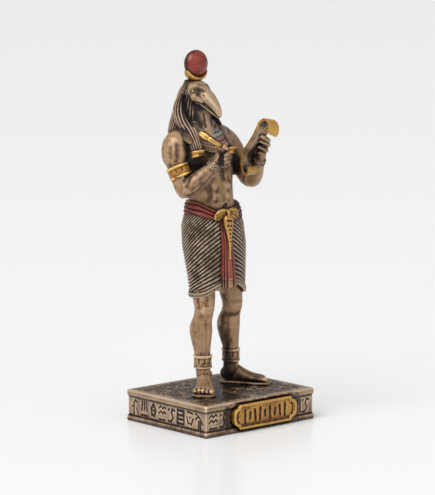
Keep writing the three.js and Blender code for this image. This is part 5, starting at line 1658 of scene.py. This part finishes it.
# The frieze's marks are shallow strokes that spell nothing: bars, dots, ticks, boxes and waves, each
# given by lines in a cell one wide and one high.
MARKS = [
    [[(-0.45, 0.25), (-0.2, 0.4), (0.05, 0.25), (0.3, 0.4), (0.45, 0.3)],
     [(-0.45, -0.05), (-0.2, 0.1), (0.05, -0.05), (0.3, 0.1), (0.45, 0.0)],
     [(-0.4, -0.42), (0.4, -0.42)]],
    [[(-0.4, 0.1), (-0.25, -0.25), (0.2, -0.3), (0.42, 0.05)], [(0.0, 0.1), (0.03, 0.12)],
     [(-0.3, 0.42), (0.35, 0.38)]],
    [[(-0.3, 0.4), (-0.35, -0.1)], [(0, 0.42), (0, -0.05)], [(0.3, 0.4), (0.35, -0.1)],
     [(-0.42, -0.42), (0.42, -0.42)]],
    [[(-0.42, -0.4), (-0.05, -0.42), (0.2, -0.15), (0.0, 0.1), (0.15, 0.38), (0.42, 0.3)],
     [(-0.35, 0.3), (-0.33, 0.32)]],
    [[(-0.42, 0.1), (-0.15, 0.3), (0.2, 0.1), (0.45, -0.15)], [(-0.05, 0.0), (-0.08, -0.44)],
     [(0.18, -0.05), (0.2, -0.44)], [(-0.38, 0.4), (-0.35, 0.42)]],
    [[(0.0, 0.4), (-0.3, 0.12), (-0.2, -0.25), (0.15, -0.3), (0.32, 0.05), (0.0, 0.4)],
     [(0.02, 0.02), (0.03, 0.02)]],
    [[(-0.42, 0.4), (0.42, 0.4), (0.42, -0.4), (-0.42, -0.4), (-0.42, 0.4)], [(-0.2, 0.12), (0.2, 0.12)],
     [(-0.2, -0.14), (0.2, -0.14)]],
    [[(-0.2, -0.45), (-0.2, 0.2), (0.0, 0.42), (0.28, 0.28)], [(0.15, -0.1), (0.38, -0.4)],
     [(-0.42, 0.0), (-0.4, 0.02)]],
]


def frieze_strokes():
    """The strokes of all four sides, with the front's middle left free for the nameplate."""
    strokes = []
    middle = (FOOT_THICKNESS + slab_low) / 2
    height = (slab_low - FOOT_THICKNESS - 2 * FRIEZE_GROOVE) * MARK_HEIGHT
    for side in range(4):
        length = PLINTH_WIDTH if side % 2 == 0 else PLINTH_DEPTH
        depth = PLINTH_DEPTH if side % 2 == 0 else PLINTH_WIDTH
        count = int((length - 2) / MARK_PITCH)
        for number in range(count):
            along = (number - (count - 1) / 2) * MARK_PITCH
            if side == 0 and abs(along - PLATE_ASIDE) < PLATE_WIDTH / 2 + 1.2:
                continue
            for line in MARKS[(number * 3 + side * 5) % len(MARKS)]:
                places = []
                for a, b in line:
                    x, y = along + a * MARK_PITCH * MARK_WIDTH, -depth / 2 + FRIEZE_DEPTH
                    for _ in range(side):
                        x, y = -y, x
                    places.append((x, y, middle + b * height - PLINTH_HEIGHT))
                strokes.append((places, 0.2 + 0.05 * (number % 3), MARK_DEPTH, 1.0))
    # Two narrow bars fill the front's short stretch between the nameplate and the last mark.
    for x in (11.9, 12.7):
        y = FRIEZE_DEPTH - PLINTH_DEPTH / 2
        ends = [(x, y, middle + b * height - PLINTH_HEIGHT) for b in (-0.4, 0.4)]
        strokes.append((ends, 0.22, MARK_DEPTH, 1.0))
    return strokes


press(plinth, frieze_strokes(), 0.8)
# Round the nameplate the wash stands in the pocket's gap with painted shade beyond it, and a painted
# shadow lies at its left end.
pocket_strokes = []
for grow, share in ((0.5, 0.75), (1.3, 0.5)):
    outline = [(x, PLATE_FRONT, z - PLINTH_HEIGHT / 2) for x, z in plate_outline(grow)]
    pocket_strokes.append((outline + outline[:1], 0.5, 0.0, share))
left_end = [(-10.4, PLATE_FRONT, z - PLINTH_HEIGHT / 2) for z in (-2.2, 0, 2.2)]
pocket_strokes.append((left_end, 0.9, 0.0, 0.95))
press(plinth, pocket_strokes)
# The top is left rough from the clay original: small pits and grains with the wash thick among them,
# and painted shade round the feet.
places, normals = surface(plinth)
places = places / MM
wash_and_shade = get_values(plinth, "wash_and_shade")
rough = np.zeros(len(places))
top_faces = np.nonzero((normals[:, 2] > 0.8) & (places[:, 2] > PLINTH_HEIGHT - 0.4))[0]
for i in top_faces:
    place = Vector(places[i].tolist())
    rough[i] = noise.noise(place * 2.1) * 0.55 + noise.noise(place * 0.5) * 0.45
edge_gap = np.minimum(PLINTH_WIDTH / 2 - abs(places[:, 0]), PLINTH_DEPTH / 2 - abs(places[:, 1]))
inside = np.zeros(len(places))
inside[top_faces] = np.clip((edge_gap[top_faces] - 0.7) / 1.8, 0, 1)
places[:, 2] += rough * inside * PIT_DEPTH
plinth.data.vertices.foreach_set("co", (places * MM).astype(np.float32).ravel())
wash_and_shade = np.maximum(wash_and_shade, inside * np.clip(0.65 - rough, 0, 1))
# Painted shade on the top round the two feet.
for foot_x, foot_y in ((-6.3, -7.6), (6.0, 2.4)):
    gap = np.hypot((places[:, 0] - foot_x) / 4.6, (places[:, 1] - foot_y) / 5.6)
    wash_and_shade = np.maximum(wash_and_shade, inside * np.clip(1.9 - 1.25 * gap, 0, 0.95))
# Thin dark wash lines stay over and under the frieze, and a band of painted shade runs where the foot
# meets the table.
for level, thickness in ((slab_low, 0.26), (FOOT_THICKNESS + 0.1, 0.26), (0.1, 0.8)):
    wash_and_shade = np.maximum(wash_and_shade, 0.85 * np.exp(-(((places[:, 2] - level) / thickness) ** 2)))
set_values(plinth, "wash_and_shade", wash_and_shade)
# Plinth: the body's bronze in a greyer tan, with the thick wash on its top left glossy.
plinth_bronze = washed_resin("cold-cast bronze plinth", "987f66", "d3b89c", 0.3, 0.4, dried=0.3)
finish_piece(plinth, plinth_bronze, "plinth")

# Nameplate
# A gilded plate let into the plinth's front, with a raised rim and dark strokes that spell nothing. It
# is cast on its own, painted and glued into its pocket.
PLATE_RIM = 0.55
PLATE_SUNK = 0.3
STROKE_PITCH = 1.55
plate = upright_plate(plate_outline(0), PLATE_BACK, PLATE_FRONT)
field = upright_plate(plate_outline(-PLATE_RIM), PLATE_FRONT + PLATE_SUNK, PLATE_FRONT - 1)
cut_from(plate, field)
bpy.data.objects.remove(field)
plate = cast("gilded_nameplate", [plate], 0.13, 1)
plate_strokes = []
field_y = PLATE_FRONT + PLATE_SUNK
plate_middle = -PLINTH_HEIGHT / 2
for number in range(9):
    x = PLATE_ASIDE + (number - 4) * STROKE_PITCH
    half = (1.4, 0.7, 1.2, 1.4, 0.6)[number % 5]
    lean = 0.12 * math.sin(number * 2.4)
    line = [(x - lean, field_y, plate_middle - half), (x + lean, field_y, plate_middle + half)]
    plate_strokes.append((line, 0.33, 0.28, 1.0))
for end in (-1, 1):
    arc = [
        (PLATE_ASIDE + end * (8.1 + 0.5 * math.cos(s)), field_y, plate_middle + 1.2 * math.sin(s))
        for s in np.linspace(-math.pi / 2, math.pi / 2, 7)
    ]
    plate_strokes.append((arc, 0.2, 0.15, 0.9))
# The wash was left in the field's lower edge and at its left end.
field_wash = ((-7.6, 7.4, -1.9, 0.55), (-8.8, -8.2, 0.2, 0.5), (-6.8, -4.6, 1.6, 0.3))
for left, right, height, share in field_wash:
    line = [(PLATE_ASIDE + x, field_y, plate_middle + height) for x in (left, right)]
    plate_strokes.append((line, 0.5, 0.0, share))
press(plate, plate_strokes, 0.8)
finish_piece(plate, antique_gold, "nameplate")

# The wash and painted shade
# After casting and painting, a thin dark wash is brushed over the whole figure and wiped off again, so
# that it stays where a cloth doesn't reach. How closed in each place is decides how much is left there.
# The rays reach 6.5 mm, so places closed in by other parts, under the arms, between the legs and round
# the feet, are darkened with painted shade as well, and the painted shade of the strokes is added in.
WASH_AND_SHADE_REACH = 6.5
RAY_LIFT = 0.04
BULGE_HEIGHT = 0.05
WASH_AND_SHADE_IN_CORNERS = 1.2
WASH_IN_DIPS = 0.4
WASH_AND_SHADE_IN_STROKES = 0.85
EDGE_RUBBING = 0.8
WASH_AND_SHADE_BLENDING = 5
BULGE_BLENDING = 6
WASH_AND_SHADE_RAYS = 9


def neighbour_means(piece, values, rounds):
    """Each vertex's value averaged with its neighbours', some rounds over."""
    ends = np.empty(len(piece.data.edges) * 2, np.int32)
    piece.data.edges.foreach_get("vertices", ends)
    a, b = ends.reshape(-1, 2).T
    count = np.zeros(len(values))
    np.add.at(count, a, 1)
    np.add.at(count, b, 1)
    count = np.maximum(count, 1)
    for _ in range(rounds):
        total = np.zeros_like(values)
        np.add.at(total, a, values[b])
        np.add.at(total, b, values[a])
        shared = total / (count[:, None] if values.ndim > 1 else count)
        values = 0.5 * (values + shared)
    return values


def settle_wash_and_shade(pieces):
    """Writes on each piece how hollow and how edge-like its surface is at each vertex."""
    select_only(*pieces)
    bpy.ops.object.duplicate()
    bpy.ops.object.join()
    whole = bpy.context.object
    crowd = BVHTree.FromObject(whole, bpy.context.evaluated_depsgraph_get())
    bpy.data.objects.remove(whole)
    golden = math.pi * (3 - math.sqrt(5))
    heights = (np.arange(WASH_AND_SHADE_RAYS) + 0.5) / WASH_AND_SHADE_RAYS
    for piece in pieces:
        # Rays leave each place in an even fan about its normal, and what they meet nearby closes it in.
        places, normals = surface(piece)
        closed = np.zeros(len(places))
        reach = WASH_AND_SHADE_REACH * MM
        helper = np.where(np.abs(normals[:, 2:]) < 0.9, [[0, 0, 1.0]], [[1.0, 0, 0]])
        across = np.cross(normals, helper)
        across /= np.linalg.norm(across, axis=1, keepdims=True) + 1e-9
        other = np.cross(normals, across)
        starts = places + normals * (RAY_LIFT * MM)
        turn = np.arange(len(places)) * golden
        for number, height in enumerate(heights):
            ring = math.sqrt(1 - height**2)
            angle = turn + number * golden
            rays = normals * height + ring * (
                across * np.cos(angle)[:, None] + other * np.sin(angle)[:, None]
            )
            for i, (start, ray) in enumerate(zip(starts.tolist(), rays.tolist())):
                gap = crowd.ray_cast(start, ray, reach)[3]
                if gap is not None:
                    closed[i] += 1 - gap / reach
        closed = neighbour_means(piece, closed / WASH_AND_SHADE_RAYS, WASH_AND_SHADE_BLENDING)
        smooth = neighbour_means(piece, places.astype(float), BULGE_BLENDING)
        bulge = ((places - smooth) * normals).sum(1) / (BULGE_HEIGHT * MM)
        # Closed-in places get wash and painted shade together.
        hollow = closed**1.5 * WASH_AND_SHADE_IN_CORNERS + np.clip(-bulge, 0, 1) * WASH_IN_DIPS
        hollow = hollow + get_values(piece, "wash_and_shade") * WASH_AND_SHADE_IN_STROKES
        set_values(piece, "hollow", np.clip(hollow, 0, 1))
        set_values(piece, "edge", np.clip(bulge * EDGE_RUBBING, 0, 1))


settle_wash_and_shade(finished)

# Studio
# A plain pale table with a satin surface and two large soft lights, as for a small object photographed
# for a shop: the main light high on the left of the camera and a weaker one on the right.
bpy.ops.mesh.primitive_plane_add(size=6, location=(0, 0, 0))
table = bpy.context.object
table.name = "table"
# Satin white board: it mirrors the plinth faintly near its foot.
board = bpy.data.materials.new("satin white board")
board.use_nodes = True
board_face = board.node_tree.nodes["Principled BSDF"]
board_face.inputs["Base Color"].default_value = linear("f1f2f2")
board_face.inputs["Roughness"].default_value = 0.24
table.data.materials.append(board)
table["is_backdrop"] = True

world = bpy.data.worlds.new("studio")
bpy.context.scene.world = world
world.use_nodes = True
air = world.node_tree.nodes["Background"]
air.inputs["Color"].default_value = linear("f6f6f5")
air.inputs["Strength"].default_value = 0.54


def soft_light(name, azimuth, elevation, strength, softness):
    """A far light that looks at the figure and is as many degrees across as its softness."""
    a, e = math.radians(azimuth), math.radians(elevation)
    way = Vector((math.sin(a) * math.cos(e), -math.cos(a) * math.cos(e), math.sin(e)))
    bpy.ops.object.light_add(
        type="SUN", location=way, rotation=(-way).to_track_quat("-Z", "Y").to_euler()
    )
    light = bpy.context.object
    light.name = name
    light.data.energy = strength
    light.data.angle = math.radians(softness)


soft_light("main_light", -78, 50, 2.7, 48)
soft_light("fill_light", 5, 28, 0.6, 60)
bpy.context.scene.view_settings.view_transform = "Standard"

low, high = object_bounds()
